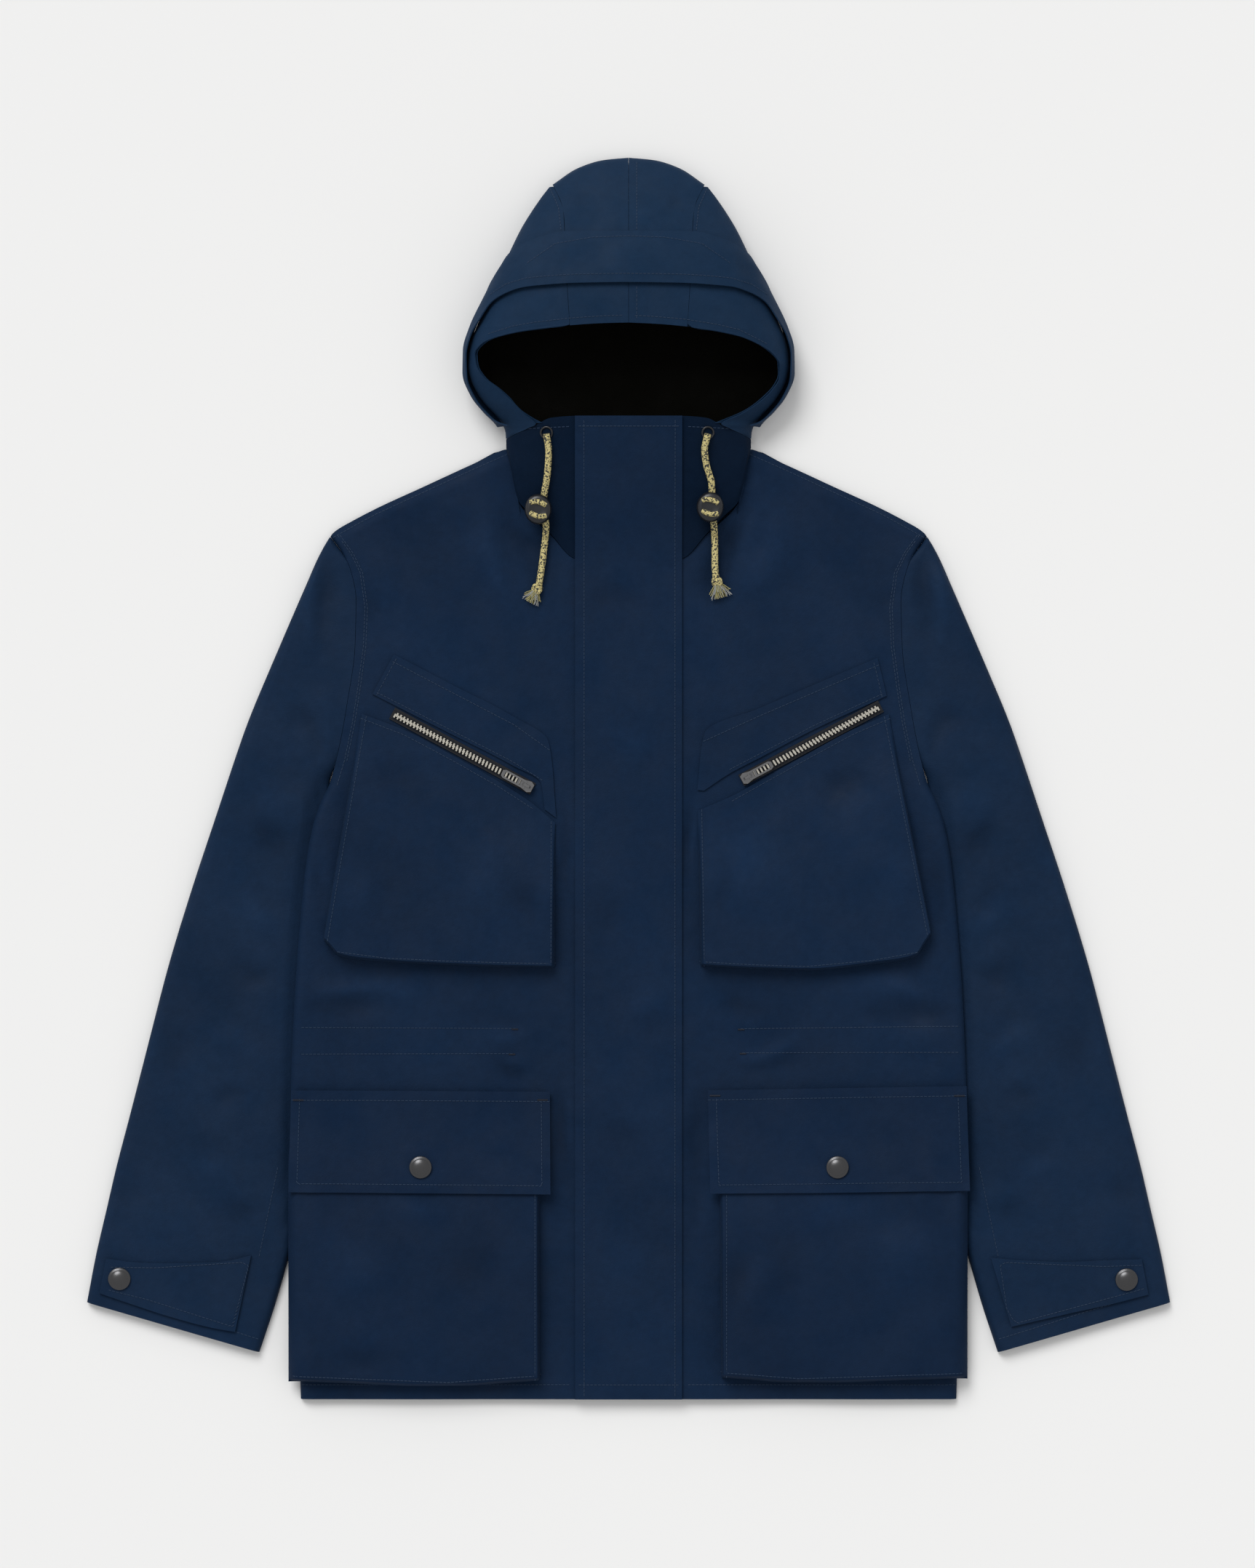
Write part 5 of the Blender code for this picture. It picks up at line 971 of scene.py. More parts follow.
def sleeve_surface(x, y):
    """Top of the sleeve in plan, read between the two rows on either side."""
    for row, after in zip(SLEEVE_ROWS[8:-1], SLEEVE_ROWS[9:]):
        for step in range(21):
            share = step / 20.0
            between = SleeveRow(*(mix(a, b, share) for a, b in zip(row, after)))
            inner, outer = sleeve_ends(between)
            width = math.hypot(outer[0] - inner[0], outer[1] - inner[1])
            along_y = mix(inner[1], outer[1], (x - inner[0]) / (outer[0] - inner[0]))
            if along_y <= y:
                along = width * (x - inner[0]) / (outer[0] - inner[0])
                return sleeve_top(x, y, along, width - along, between.height)
    return SLEEVE_ROWS[-1].height


CUFF_TAB_TOP = {
    "left": [PlanPoint(430.2, -395.7), PlanPoint(404.4, -399.1), PlanPoint(380.0, -399.7),
             PlanPoint(336.0, -398.5), PlanPoint(310.8, -393.3)],
    "right": [PlanPoint(422.4, -396.5), PlanPoint(395.0, -397.2), PlanPoint(359.2, -398.6),
              PlanPoint(326.0, -397.5), PlanPoint(298.2, -395.1)],
}
CUFF_TAB_FOOT = {
    "left": [PlanPoint(435.6, -424.5), PlanPoint(414.8, -431.6), PlanPoint(379.8, -443.1),
             PlanPoint(340.8, -453.4), PlanPoint(324.0, -456.3)],
    "right": [PlanPoint(428.0, -425.5), PlanPoint(396.0, -433.8), PlanPoint(365.0, -440.6),
              PlanPoint(336.0, -447.2), PlanPoint(315.0, -452.1)],
}
CUFF_SNAP = {"left": PlanPoint(419.1, -412.5), "right": PlanPoint(409.8, -413.1)}


def make_cuff_tab(side, label):
    grid = []
    for down in (0.0, 0.5, 1.0):
        line = []
        for a, b in zip(CUFF_TAB_TOP[label], CUFF_TAB_FOOT[label]):
            x, y = mix(a.x, b.x, down), mix(a.y, b.y, down)
            line.append((side * x, y, sleeve_surface(x, y) + LAYER_GAP + DOUBLE_CLOTH))
        grid.append(line)
    return wall("cuff_tab_" + label, grid, DOUBLE_CLOTH, side)


# ---- hood ----------------------------------------------------------------

SIDE_ROWS = (279.4, 283.0, 287.0, 290.0, 298.0, 308.0, 318.0, 328.0, 338.0, 348.0, 354.0, 358.0,
             361.0, 364.0, 366.0, 368.0, 370.5, 385.0, 400.0, 418.0, 436.0, 452.0, 466.0, 478.0, 486.5)
SIDE_TURNS = (1.0, 0.72, 0.45, 0.2, 0.0, -0.45, -1.0)


def rim_of(side):
    return RIM_LEFT if side < 0 else RIM_RIGHT


def hood_start_x(side, y):
    """Where the hood's side begins on top: collar seam, rim or crown seam."""
    rim = rim_of(side)
    if y <= rim[-1].y:
        return read(COLLAR_TOP, "y", "x", y - SEAM_GAP)
    seam = read(CROWN_SEAM, "y", "half_width", y) + SEAM_GAP / 2.0
    return max(seam, read(rim, "y", "x", y)) if y < rim[0].y else seam


def make_hood_side(side, label):
    grid = []
    for y in SIDE_ROWS:
        start = hood_angle(hood_start_x(side, y), y)
        line = []
        for turn in SIDE_TURNS:
            angle = turn * start if turn > 0.0 else turn * 90.0
            line.append(hood_point(side, y, angle))
        seam_x = read(BACK_SEAM, "y", "half_width", y) + SEAM_GAP / 2.0
        line.append((side * min(seam_x, abs(line[-1].x) - 0.8), y, 0.0))
        grid.append(line)
    return wall("hood_side_" + label, grid, CLOTH, side)


def crown_top(side, share, up):
    """Point on the crown strip over the hood: `share` out to its seam, `up` to the nose."""
    nose_x = share * CROWN_NOSE[-1].x
    nose_y = read(CROWN_NOSE, "x", "y", nose_x)
    rim_x = share * read(CROWN_SEAM, "y", "half_width", 371.0)
    rim_y = read(rim_of(side)[:4], "x", "y", rim_x)
    y = mix(rim_y, nose_y, up)
    seam = read(CROWN_SEAM, "y", "half_width", y) if up < 1.0 else CROWN_NOSE[-1].x
    x = max(share * (seam - SEAM_GAP / 2.0), SEAM_GAP / 2.0)
    widest = read(HOOD, "y", "half_width", y)
    return hood_point(side, y, hood_angle(min(x, widest), y))


BACK_TUCK = 1.5    # the crown's back lies this far inside the side's edge


def crown_back(side, share, down):
    nose_x = share * CROWN_NOSE[-1].x
    nose_y = read(CROWN_NOSE, "x", "y", nose_x)
    y = mix(nose_y - 8.0, HOOD_BACK_Y, down)
    seam = read(BACK_SEAM, "y", "half_width", y) - BACK_TUCK
    return (side * max(share * (seam - SEAM_GAP / 2.0), SEAM_GAP / 2.0), y, 0.0)


def make_hood_crown(side, label):
    shares = (0.0, 0.33, 0.66, 1.0)
    grid = [[crown_top(side, share, up) for share in shares]
            for up in (0.0, 0.15, 0.35, 0.55, 0.72, 0.85, 0.94, 0.985)]
    grid.append([(side * max(share * CROWN_NOSE[-1].x, SEAM_GAP / 2.0),
                  read(CROWN_NOSE, "x", "y", share * CROWN_NOSE[-1].x), 4.5) for share in shares])
    grid += [[crown_back(side, share, down) for share in shares] for down in (0.0, 0.3, 1.0)]
    return wall("hood_crown_" + label, grid, CLOTH, side)


def make_storm_flap():
    stations = [(-1, row) for row in reversed(STORM_FLAP)] + [(1, row) for row in STORM_FLAP[1:]]
    grid = []
    for side, row in stations:
        line = []
        for out in (0.0, 0.35, 0.7, 1.0):
            y = mix(row.sewn_y, row.free_y, out)
            angle = mix(row.sewn_angle, row.free_angle, out)
            off = mix(row.sewn_off, row.free_off, out) + 1.2 * math.sin(math.pi * out)
            line.append(hood_point(side, y, angle, off))
        grid.append(line)
    return wall("hood_storm_flap", grid, CLOTH, 1)


def make_rim_facing():
    stations = [(-1, row) for row in reversed(RIM_LEFT)] + [(1, row) for row in RIM_RIGHT[1:]]
    grid = []
    for side, row in stations:
        rim_angle = hood_angle(row.x, row.y)
        line = []
        for inward in (0.03, 0.5, 1.0):
            y = row.y + row.facing_dy * inward
            angle = rim_angle + row.facing_turn * inward
            line.append(hood_point(side, y, angle, -FACING_INSET))
        grid.append(line)
    return wall("hood_facing", grid, LINING_CLOTH, -1)


FACING_INSET = 2.55     # from the outer face of the hood to the facing
LINING_INSET = 3.4      # and to the lining
AngleRow = namedtuple("AngleRow", "y angle")
# How far up each side the lining comes, as an angle round the hood.
LINING_START = [
    AngleRow(267.0, -80.0), AngleRow(284.0, -72.0), AngleRow(292.0, 8.0),
    AngleRow(302.0, 6.0), AngleRow(318.0, -6.0), AngleRow(338.0, -12.0), AngleRow(348.0, -14.0),
    AngleRow(356.0, -12.0), AngleRow(366.0, 4.0), AngleRow(374.0, 24.0),
    AngleRow(384.0, 44.0), AngleRow(398.0, 80.0), AngleRow(412.0, 86.0), AngleRow(500.0, 86.0),
]
LINING_ROWS = (267.0, 275.0, 284.0, 293.0, 305.0, 318.0, 334.0, 348.0, 360.0, 372.0, 390.0, 412.0,
               436.0, 458.0, 474.0)


def make_lining():
    grid = []
    for y in LINING_ROWS:
        start = read(LINING_START, "y", "angle", y)
        half = [mix(start, -90.0, t) for t in (0.0, 0.25, 0.5, 0.75, 1.0)]
        left = [hood_point(-1, y, angle, -LINING_INSET) for angle in half]
        right = [hood_point(1, y, angle, -LINING_INSET) for angle in reversed(half)]
        middle = (0.0, y, LINING_INSET)
        grid.append(left + [middle] + right)
    return wall("hood_lining", grid, LINING_CLOTH, -1)


# ---- pockets -------------------------------------------------------------

PocketPlan = namedtuple("PocketPlan", "top foot")

# Bellows bags of the chest pockets: the zip's lower seam and the bag's foot,
# from the garment's side towards its middle.
CHEST_BAG = {
    "left": PocketPlan(
        [PlanPoint(219.4, 52.8), PlanPoint(185.0, 39.6), PlanPoint(146.0, 19.0), PlanPoint(108.0, -2.5),
         PlanPoint(80.0, -20.5), PlanPoint(60.5, -37.0)],
        [PlanPoint(251.0, -133.0), PlanPoint(238.0, -146.5), PlanPoint(200.0, -151.5),
         PlanPoint(150.0, -154.0), PlanPoint(100.0, -155.5), PlanPoint(60.5, -156.0)]),
    "right": PocketPlan(
        [PlanPoint(214.0, 52.5), PlanPoint(185.0, 40.0), PlanPoint(146.0, 19.0), PlanPoint(110.0, -1.0),
         PlanPoint(86.0, -14.5), PlanPoint(57.0, -27.0)],
        [PlanPoint(249.0, -128.0), PlanPoint(236.0, -147.0), PlanPoint(200.0, -153.5),
         PlanPoint(146.0, -158.5), PlanPoint(100.0, -157.0), PlanPoint(59.0, -154.5)]),
}
# Yoke strips above the zips: upper edge and the edge along the zip.
CHEST_YOKE = {
    "left": PocketPlan(
        [PlanPoint(193.2, 101.7), PlanPoint(143.7, 75.9), PlanPoint(94.2, 50.1), PlanPoint(66.0, 30.0),
         PlanPoint(59.5, -33.0)],
        [PlanPoint(210.9, 69.0), PlanPoint(150.0, 38.0), PlanPoint(96.0, 10.4), PlanPoint(72.0, -4.6),
         PlanPoint(69.0, -26.0)]),
    "right": PocketPlan(
        [PlanPoint(204.9, 98.9), PlanPoint(158.0, 79.0), PlanPoint(108.0, 57.5), PlanPoint(62.5, 36.9),
         PlanPoint(56.5, -10.0)],
        [PlanPoint(212.4, 67.5), PlanPoint(152.0, 39.5), PlanPoint(108.0, 16.5), PlanPoint(84.0, 4.0),
         PlanPoint(62.0, -10.5)]),
}
# Middle line of each zip: its outer stop and where the slider stands.
ZIP_LINE = {
    "left": (PlanPoint(192.0, 51.8), PlanPoint(84.0, -6.4)),
    "right": (PlanPoint(205.0, 57.6), PlanPoint(98.0, 0.6)),
}
ZIP_TAPE_HALF = 5.2
ZIP_TAPE_THICKNESS = 1.0
BAG_FOOT_GAP = 1.9         # from the front to the outer face of a bag at its foot
CHEST_SEAM_HEIGHT = 2.6    # the bag's face over the front, along the zip
CHEST_BAG_HEIGHT = 14.0    # and along its foot

LOWER_TOP_Y = -262.0
FLAP_GAP = 1.2             # between a pocket flap and its bag
LOWER_SEAM_HEIGHT = 2.6
LOWER_BAG_HEIGHT = 14.0
LOWER_BAG = {
    "left": PocketPlan([PlanPoint(275.0, -262.0), PlanPoint(180.0, -262.0), PlanPoint(72.9, -262.0)],
                       [PlanPoint(275.0, -497.1), PlanPoint(148.2, -502.0), PlanPoint(72.9, -496.5)]),
    "right": PocketPlan([PlanPoint(274.0, -262.0), PlanPoint(180.0, -262.0), PlanPoint(73.8, -262.0)],
                        [PlanPoint(273.0, -494.7), PlanPoint(140.0, -499.0), PlanPoint(76.5, -494.0)]),
}
LOWER_BULGE = {"left": 280.0, "right": 279.0}   # how far out the bellows bulges past the body
POCKET_FLAP = {
    "left": PocketPlan([PlanPoint(277.5, -257.1), PlanPoint(170.0, -257.7), PlanPoint(64.8, -258.3)],
                       [PlanPoint(279.4, -340.5), PlanPoint(170.0, -341.5), PlanPoint(64.2, -342.3)]),
    "right": PocketPlan([PlanPoint(277.8, -253.5), PlanPoint(170.0, -255.4), PlanPoint(65.1, -257.1)],
                        [PlanPoint(280.4, -339.3), PlanPoint(170.0, -341.0), PlanPoint(67.2, -341.7)]),
}
POCKET_SNAP = {"left": PlanPoint(171.0, -320.1), "right": PlanPoint(171.6, -320.1)}


def along_points(points, share):
    """Point at a share of the way along a short row of plan points."""
    place = share * (len(points) - 1)
    i = min(int(place), len(points) - 2)
    t = place - i
    return mix(points[i].x, points[i + 1].x, t), mix(points[i].y, points[i + 1].y, t)


def plan_between(plan, across, down):
    top = along_points(plan.top, across)
    foot = along_points(plan.foot, across)
    return mix(top[0], foot[0], down), mix(top[1], foot[1], down)


def bag_rise(down, seam_height, full_height):
    return mix(seam_height, full_height, smooth_step(down / 0.55))


def bag_grid(side, plan, seam_height, full_height, bulge=None):
    """Face and gussets of a bellows bag, standing on the front."""
    across_stations = (0.0, 0.014, 0.08, 0.2, 0.4, 0.6, 0.8, 0.986, 1.0)
    down_stations = (0.0, 0.08, 0.16, 0.25, 0.35, 0.55, 0.8, 0.986, 1.0)
    grid = []
    for down in down_stations:
        line = []
        for across in across_stations:
            x, y = plan_between(plan, across, down)
            on_foot = across in (0.0, 1.0) or down == 1.0
            rise = bag_rise(down, seam_height, full_height)
            if across == 0.0 and bulge:
                opened = smooth_step(down / 0.25)
                rise *= mix(1.0, 0.3, opened)
                x = mix(x, bulge, opened)
            elif on_foot and down > 0.0:
                rise = BAG_FOOT_GAP
            line.append((side * x, y, top_height(min(x, body_half(y) - 2.0), y) + rise))
        if bulge:
            y = line[0][1]
            opened = smooth_step(down / 0.25)
            foot_x = mix(plan.top[0].x + 1.8, body_half(y) - 1.5, opened)
            lift = mix(seam_height - 0.7, BAG_FOOT_GAP, opened)
            line.insert(0, (side * foot_x, y, front_height(min(foot_x, body_half(y) - 1.5), y) + lift))
        grid.append(line)
    return grid


def make_chest_bag(side, label):
    grid = bag_grid(side, CHEST_BAG[label], CHEST_SEAM_HEIGHT, CHEST_BAG_HEIGHT)
    return wall("chest_bag_" + label, grid, CLOTH, side)


def make_chest_yoke(side, label):
    grid = []
    for down in (0.0, 0.5, 1.0):
        line = []
        for across in (0.0, 0.25, 0.5, 0.75, 1.0):
            x, y = plan_between(CHEST_YOKE[label], across, down)
            line.append((side * x, y, top_height(x, y) + LAYER_GAP + CLOTH))
        grid.append(line)
    return wall("chest_yoke_" + label, grid, CLOTH, side)


def zip_frame(label):
    """Outer stop, inward direction and length of a zip, in plan."""
    outer, inner = ZIP_LINE[label]
    reach = Vector((inner.x - outer.x, inner.y - outer.y, 0.0))
    return Vector((outer.x, outer.y, 0.0)), reach.normalized(), reach.length


def make_zip(side, label):
    """Tape of a zip, from a little past its outer stop to a little past the slider."""
    outer, ahead, length = zip_frame(label)
    sideways = Vector((-ahead.y, ahead.x, 0.0))
    grid = []
    for share in (0.0, 0.33, 0.67, 1.0):
        line = []
        for half in (-ZIP_TAPE_HALF, ZIP_TAPE_HALF):
            place = outer + ahead * mix(-3.0, length + 6.0, share) + sideways * half
            z = top_height(place.x, place.y) + LAYER_GAP + ZIP_TAPE_THICKNESS
            line.append((side * place.x, place.y, z))
        grid.append(line)
    return wall("zip_tape_" + label, grid, ZIP_TAPE_THICKNESS, -side)


def make_lower_bag(side, label):
    grid = bag_grid(side, LOWER_BAG[label], LOWER_SEAM_HEIGHT, LOWER_BAG_HEIGHT, LOWER_BULGE[label])
    return wall("lower_bag_" + label, grid, CLOTH, side)


def flap_height(label, x, y):
    """Upper face of a pocket flap over the bag that it covers."""
    foot_y = LOWER_BAG[label].foot[1].y
    down = (y - LOWER_TOP_Y) / (foot_y - LOWER_TOP_Y)
    rise = bag_rise(down, LOWER_SEAM_HEIGHT, LOWER_BAG_HEIGHT)
    return top_height(min(x, body_half(y) - 2.0), y) + rise + FLAP_GAP + DOUBLE_CLOTH


def make_pocket_flap(side, label):
    grid = []
    for down in (0.0, 0.2, 0.4, 0.6, 0.8, 1.0):
        line = []
        for across in (0.0, 0.03, 0.08, 0.2, 0.4, 0.6, 0.8, 0.93, 1.0):
            x, y = plan_between(POCKET_FLAP[label], across, down)
            line.append((side * x, y, flap_height(label, x, y)))
        grid.append(line)
    return wall("pocket_flap_" + label, grid, DOUBLE_CLOTH, side)


CORD_DIAMETER = 5.5
CORD_LIE = 0.45            # kept under a cord

# Drawcords: given route of each cord's middle, from the eyelet in the hood's
# rim to the knot; it lies on whatever is below it.
CORD_ROUTE = {
    "left": [PlanPoint(-67.4, 282.0), PlanPoint(-65.7, 269.1), PlanPoint(-66.7, 248.9),
             PlanPoint(-69.4, 232.5), PlanPoint(-70.6, 220.6), PlanPoint(-67.9, 208.5),
             PlanPoint(-69.6, 188.1), PlanPoint(-72.0, 170.0), PlanPoint(-73.8, 158.5)],
    "right": [PlanPoint(65.0, 282.0), PlanPoint(62.4, 270.0), PlanPoint(63.9, 256.5),
              PlanPoint(67.7, 243.9), PlanPoint(68.4, 234.9), PlanPoint(67.6, 222.3),
              PlanPoint(69.8, 210.9), PlanPoint(71.0, 193.5), PlanPoint(71.0, 175.0),
              PlanPoint(71.8, 164.5)],
}
STOPPER_PLACE = {"left": PlanPoint(-74.3, 220.6), "right": PlanPoint(66.9, 222.3)}
STOPPER_HALF_LENGTH = 12.6
STOPPER_HALF_WIDTH = 11.2
STOPPER_HEIGHT = 10.5


def over_height(x, y):
    return top_height(abs(x), y)


# ---- sewing, zip teeth and snaps -------------------------------------------

def rows_object(name, rows):
    """Lines in metres, as one curve object for the rows of stitches or teeth."""
    curve = bpy.data.curves.new(name, "CURVE")
    curve.dimensions = "3D"
    for row in rows:
        spline = curve.splines.new("POLY")
        spline.points.add(len(row) - 1)
        spline.points.foreach_set("co", np.array([(*p, 1.0) for p in row]).ravel())
    made = bpy.data.objects.new(name, curve)
    bpy.context.scene.collection.objects.link(made)
    return made


def make_row_group(name, block):
    """Geometry nodes that set one small piece after another along lines."""
    group = bpy.data.node_groups.new(name, "GeometryNodeTree")
    group.interface.new_socket("Geometry", in_out="INPUT", socket_type="NodeSocketGeometry")
    for label in ("Pitch", "Length", "Width", "Height"):
        group.interface.new_socket(label, in_out="INPUT", socket_type="NodeSocketFloat")
    group.interface.new_socket("Finish", in_out="INPUT", socket_type="NodeSocketMaterial")
    group.interface.new_socket("Geometry", in_out="OUTPUT", socket_type="NodeSocketGeometry")
    given = group.nodes.new("NodeGroupInput")
    out = group.nodes.new("NodeGroupOutput")
    places = group.nodes.new("GeometryNodeCurveToPoints")
    places.mode = "LENGTH"
    group.links.new(given.outputs["Geometry"], places.inputs["Curve"])
    group.links.new(given.outputs["Pitch"], places.inputs["Length"])
    if block:
        item = group.nodes.new("GeometryNodeMeshCube")
        size = group.nodes.new("ShaderNodeCombineXYZ")
        group.links.new(given.outputs["Width"], size.inputs["X"])
        group.links.new(given.outputs["Height"], size.inputs["Y"])
        group.links.new(given.outputs["Length"], size.inputs["Z"])
        group.links.new(size.outputs["Vector"], item.inputs["Size"])
    else:
        item = group.nodes.new("GeometryNodeMeshCylinder")
        item.inputs["Vertices"].default_value = 5
        group.links.new(given.outputs["Width"], item.inputs["Radius"])
        group.links.new(given.outputs["Length"], item.inputs["Depth"])
    on = group.nodes.new("GeometryNodeInstanceOnPoints")
    group.links.new(places.outputs["Points"], on.inputs["Points"])
    group.links.new(places.outputs["Rotation"], on.inputs["Rotation"])
    group.links.new(item.outputs["Mesh"], on.inputs["Instance"])
    real = group.nodes.new("GeometryNodeRealizeInstances")
    group.links.new(on.outputs["Instances"], real.inputs["Geometry"])
    paint = group.nodes.new("GeometryNodeSetMaterial")
    group.links.new(real.outputs["Geometry"], paint.inputs["Geometry"])
    group.links.new(given.outputs["Finish"], paint.inputs["Material"])
    group.links.new(paint.outputs["Geometry"], out.inputs["Geometry"])
    return group


THREAD_ROWS = make_row_group("thread_rows", False)
TOOTH_ROWS = make_row_group("tooth_rows", True)


def settle_rows(name, rows, group, settings, finish):
    """Runs a group of geometry nodes along the rows and keeps the plain mesh that it gives."""
    line = rows_object(name + "_line", rows)
    made_by = line.modifiers.new("rows", "NODES")
    made_by.node_group = group
    for socket in group.interface.items_tree:
        if socket.item_type == "SOCKET" and socket.in_out == "INPUT":
            if socket.name in settings:
                made_by[socket.identifier] = settings[socket.name]
            elif socket.name == "Finish":
                made_by[socket.identifier] = finish
    bpy.context.view_layer.update()
    graph = bpy.context.evaluated_depsgraph_get()
    mesh = bpy.data.meshes.new_from_object(line.evaluated_get(graph), depsgraph=graph)
    mesh.name = name
    bpy.data.objects.remove(line)
    made = bpy.data.objects.new(name, mesh)
    bpy.context.scene.collection.objects.link(made)
    if not mesh.materials:
        mesh.materials.append(finish)
    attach(made, "garment")
    return made


SURFACES = {}


def surface(name):
    if name not in SURFACES:
        mesh = bpy.data.objects[name + "_fine"].data
        points = [v.co.copy() for v in mesh.vertices]
        SURFACES[name] = BVHTree.FromPolygons(points, [tuple(p.vertices) for p in mesh.polygons])
    return SURFACES[name]


def top_of(names, x, y):
    """Highest point of the named pieces above a plan point, in metres, or None."""
    best = None
    for name in names:
        hit = surface(name).ray_cast(Vector((x * MM, y * MM, 0.3)), Vector((0.0, 0.0, -1.0)))
        if hit[0] is not None and (best is None or hit[0].z > best):
            best = hit[0].z
    return best


def on_cloth(names, points, lift=0.15, every=5.0):
    """A line given in plan, laid on the named pieces."""
    row = []
    for (x0, y0), (x1, y1) in zip(points, points[1:]):
        count = max(1, int(math.hypot(x1 - x0, y1 - y0) / every))
        for i in range(count):
            t = i / count
            row.append((mix(x0, x1, t), mix(y0, y1, t)))
    row.append(points[-1])
    laid = []
    for x, y in row:
        z = top_of(names, x, y)
        if z is not None:
            laid.append((x * MM, y * MM, z + lift * MM))
    return laid


STITCH = {"Pitch": 0.0032, "Length": 0.0023, "Width": 0.00036, "Height": 0.0003}
BARTACK = {"Pitch": 0.0006, "Length": 0.0005, "Width": 0.0008, "Height": 0.0003}
BARTACK_STEP = 1.5
SIDES = (("left", -1), ("right", 1))

# Sewing, in plan: where the photograph shows a row that no edge of a piece gives.
PLACKET_ROWS = ([(-36.6, -508), (-36.6, 292)], [(38.2, -508), (38.2, 292)],
                [(-40, 288.3), (40, 288.3)], [(-40, -500), (40, -500)])
WAIST_ROWS = {
    "left": [((-94.2, -206.5), (-268.0, -205.5)), ((-96.6, -227.1), (-268.0, -227.5))],
    "right": [((93.3, -206.7), (270.0, -204.5)), ((94.8, -226.5), (270.0, -226.0))],
}
HEM_ROW = [(50.0, -500.0), (268.0, -500.0)]
COLLAR_ROW = [(50.0, 288.0), (96.0, 286.0)]
SLEEVE_SEAM = [(289.0, -322.0), (304.0, -393.0)]
CUFF_ROW = [(306.0, -462.0), (402.0, -432.0)]
TAB_ROW = {
    "left": [(425.0, -403.0), (390.0, -403.5), (318.0, -399.0), (313.0, -402.0), (318.0, -446.0),
             (326.0, -452.0), (395.0, -430.0), (427.0, -422.0)],
    "right": [(421.0, -401.5), (390.0, -402.5), (310.0, -399.0), (306.0, -402.0), (312.0, -442.0),
              (320.0, -449.0), (390.0, -430.0), (423.0, -421.0)],
}
CROWN_ROWS = ([(6.6, 376.0), (6.6, 400.0)], [(6.6, 450.0), (6.6, 506.0)])
CROWN_SIDE_ROW = [(66.0, 489.0), (57.5, 468.0), (55.5, 450.0)]
STORM_FLAP_SEAM = [(0.0, 443.0), (30.0, 442.0), (60.0, 437.0), (82.0, 422.0)]


def stitch(name, cloth, runs, settings=STITCH, finish="thread", every=5.0):
    """Rows of thread along plan lines, laid on the named pieces of cloth."""
    rows = [on_cloth(cloth, run, every=every) for run in runs]
    rows = [row for row in rows if len(row) > 1]
    settle_rows(name, rows, THREAD_ROWS, settings, FINISHES[finish])


def bartack(name, cloth, runs):
    stitch(name, cloth, runs, BARTACK, "thread_dark", BARTACK_STEP)


def plan_line(points, side):
    return [(side * p.x, p.y) for p in points]


def mirrored(points, side):
    return [(side * x, y) for x, y in points]


def moved(points, dx, dy):
    return [(x + dx, y + dy) for x, y in points]


def stitch_front(side, label):
    cloth = ("front_" + label,)
    armhole = [(side * (row.half_width - 7.0), row.y) for row in ARMHOLE]
    second = moved(armhole[1:], -2.0 * side, 0.0)
    shoulder = [(side * row.x, row.y - 5.0) for row in SHOULDER_LINE]
    runs = [armhole, second, mirrored(HEM_ROW, side), shoulder] + WAIST_ROWS[label]
    stitch("stitches_front_" + label, cloth, runs)
    tacks = [[(x - 3.0 * side, y - 0.6), (x + 1.6 * side, y - 0.6)] for (x, y), _ in WAIST_ROWS[label]]
    bartack("bartacks_waist_" + label, cloth, tacks)


def stitch_chest_pocket(side, label):
    upper = plan_line(CHEST_YOKE[label].top[:4], side)
    lower = plan_line(CHEST_YOKE[label].foot[:4], side)
    runs = [moved(upper, 0.0, -6.5), moved(lower, 0.0, 3.2), moved([upper[0], lower[0]], -4.0 * side, 0.0)]
    stitch("stitches_yoke_" + label, ("chest_yoke_" + label,), runs)
    top = plan_line(CHEST_BAG[label].top, side)
    foot = plan_line(CHEST_BAG[label].foot, side)
    outer_end = moved(top[:1], -3.4 * side, -3.0) + moved(foot[:1], -4.0 * side, 0.0)
    inner_end = moved([top[-1], foot[-1]], 3.2 * side, 0.0)
    runs = [moved(top[:5], 0.0, -4.2), inner_end, moved(foot[1:], 0.0, 3.4), outer_end]
    stitch("stitches_chest_bag_" + label, ("chest_bag_" + label,), runs)


def stitch_lower_pocket(side, label):
    cloth = ("pocket_flap_" + label,)
    top = moved(plan_line(POCKET_FLAP[label].top, side), 0.0, -8.0)
    foot = moved(plan_line(POCKET_FLAP[label].foot, side), 0.0, 7.0)
    seam = moved(top[:1], -1.5 * side, 0.0) + moved(top[-1:], 1.5 * side, 0.0)
    edge = moved([top[0], foot[0]], -7.0 * side, 0.0) + moved([foot[-1], top[-1]], 7.0 * side, 0.0)
    stitch("stitches_flap_" + label, cloth, [seam, edge])
    tacks = [[(x + side * a, top[0][1]), (x + side * b, top[0][1])]
             for x, a, b in ((top[0][0], -10.0, -2.0), (top[-1][0], 2.0, 10.0))]
    bartack("bartacks_flap_" + label, cloth, tacks)
    foot = plan_line(LOWER_BAG[label].foot, side)
    inner_x = foot[-1][0] + 4.0 * side
    runs = [moved(foot, 0.0, 5.0), [(inner_x, -344.0), (inner_x, foot[-1][1] + 2.0)]]
    stitch("stitches_lower_bag_" + label, ("lower_bag_" + label,), runs)


def stitch_sleeve(side, label):
    runs = [mirrored(SLEEVE_SEAM, side), mirrored(CUFF_ROW, side)]
    stitch("stitches_sleeve_" + label, ("sleeve_" + label,), runs)
    stitch("stitches_cuff_tab_" + label, ("cuff_tab_" + label,), [mirrored(TAB_ROW[label], side)])


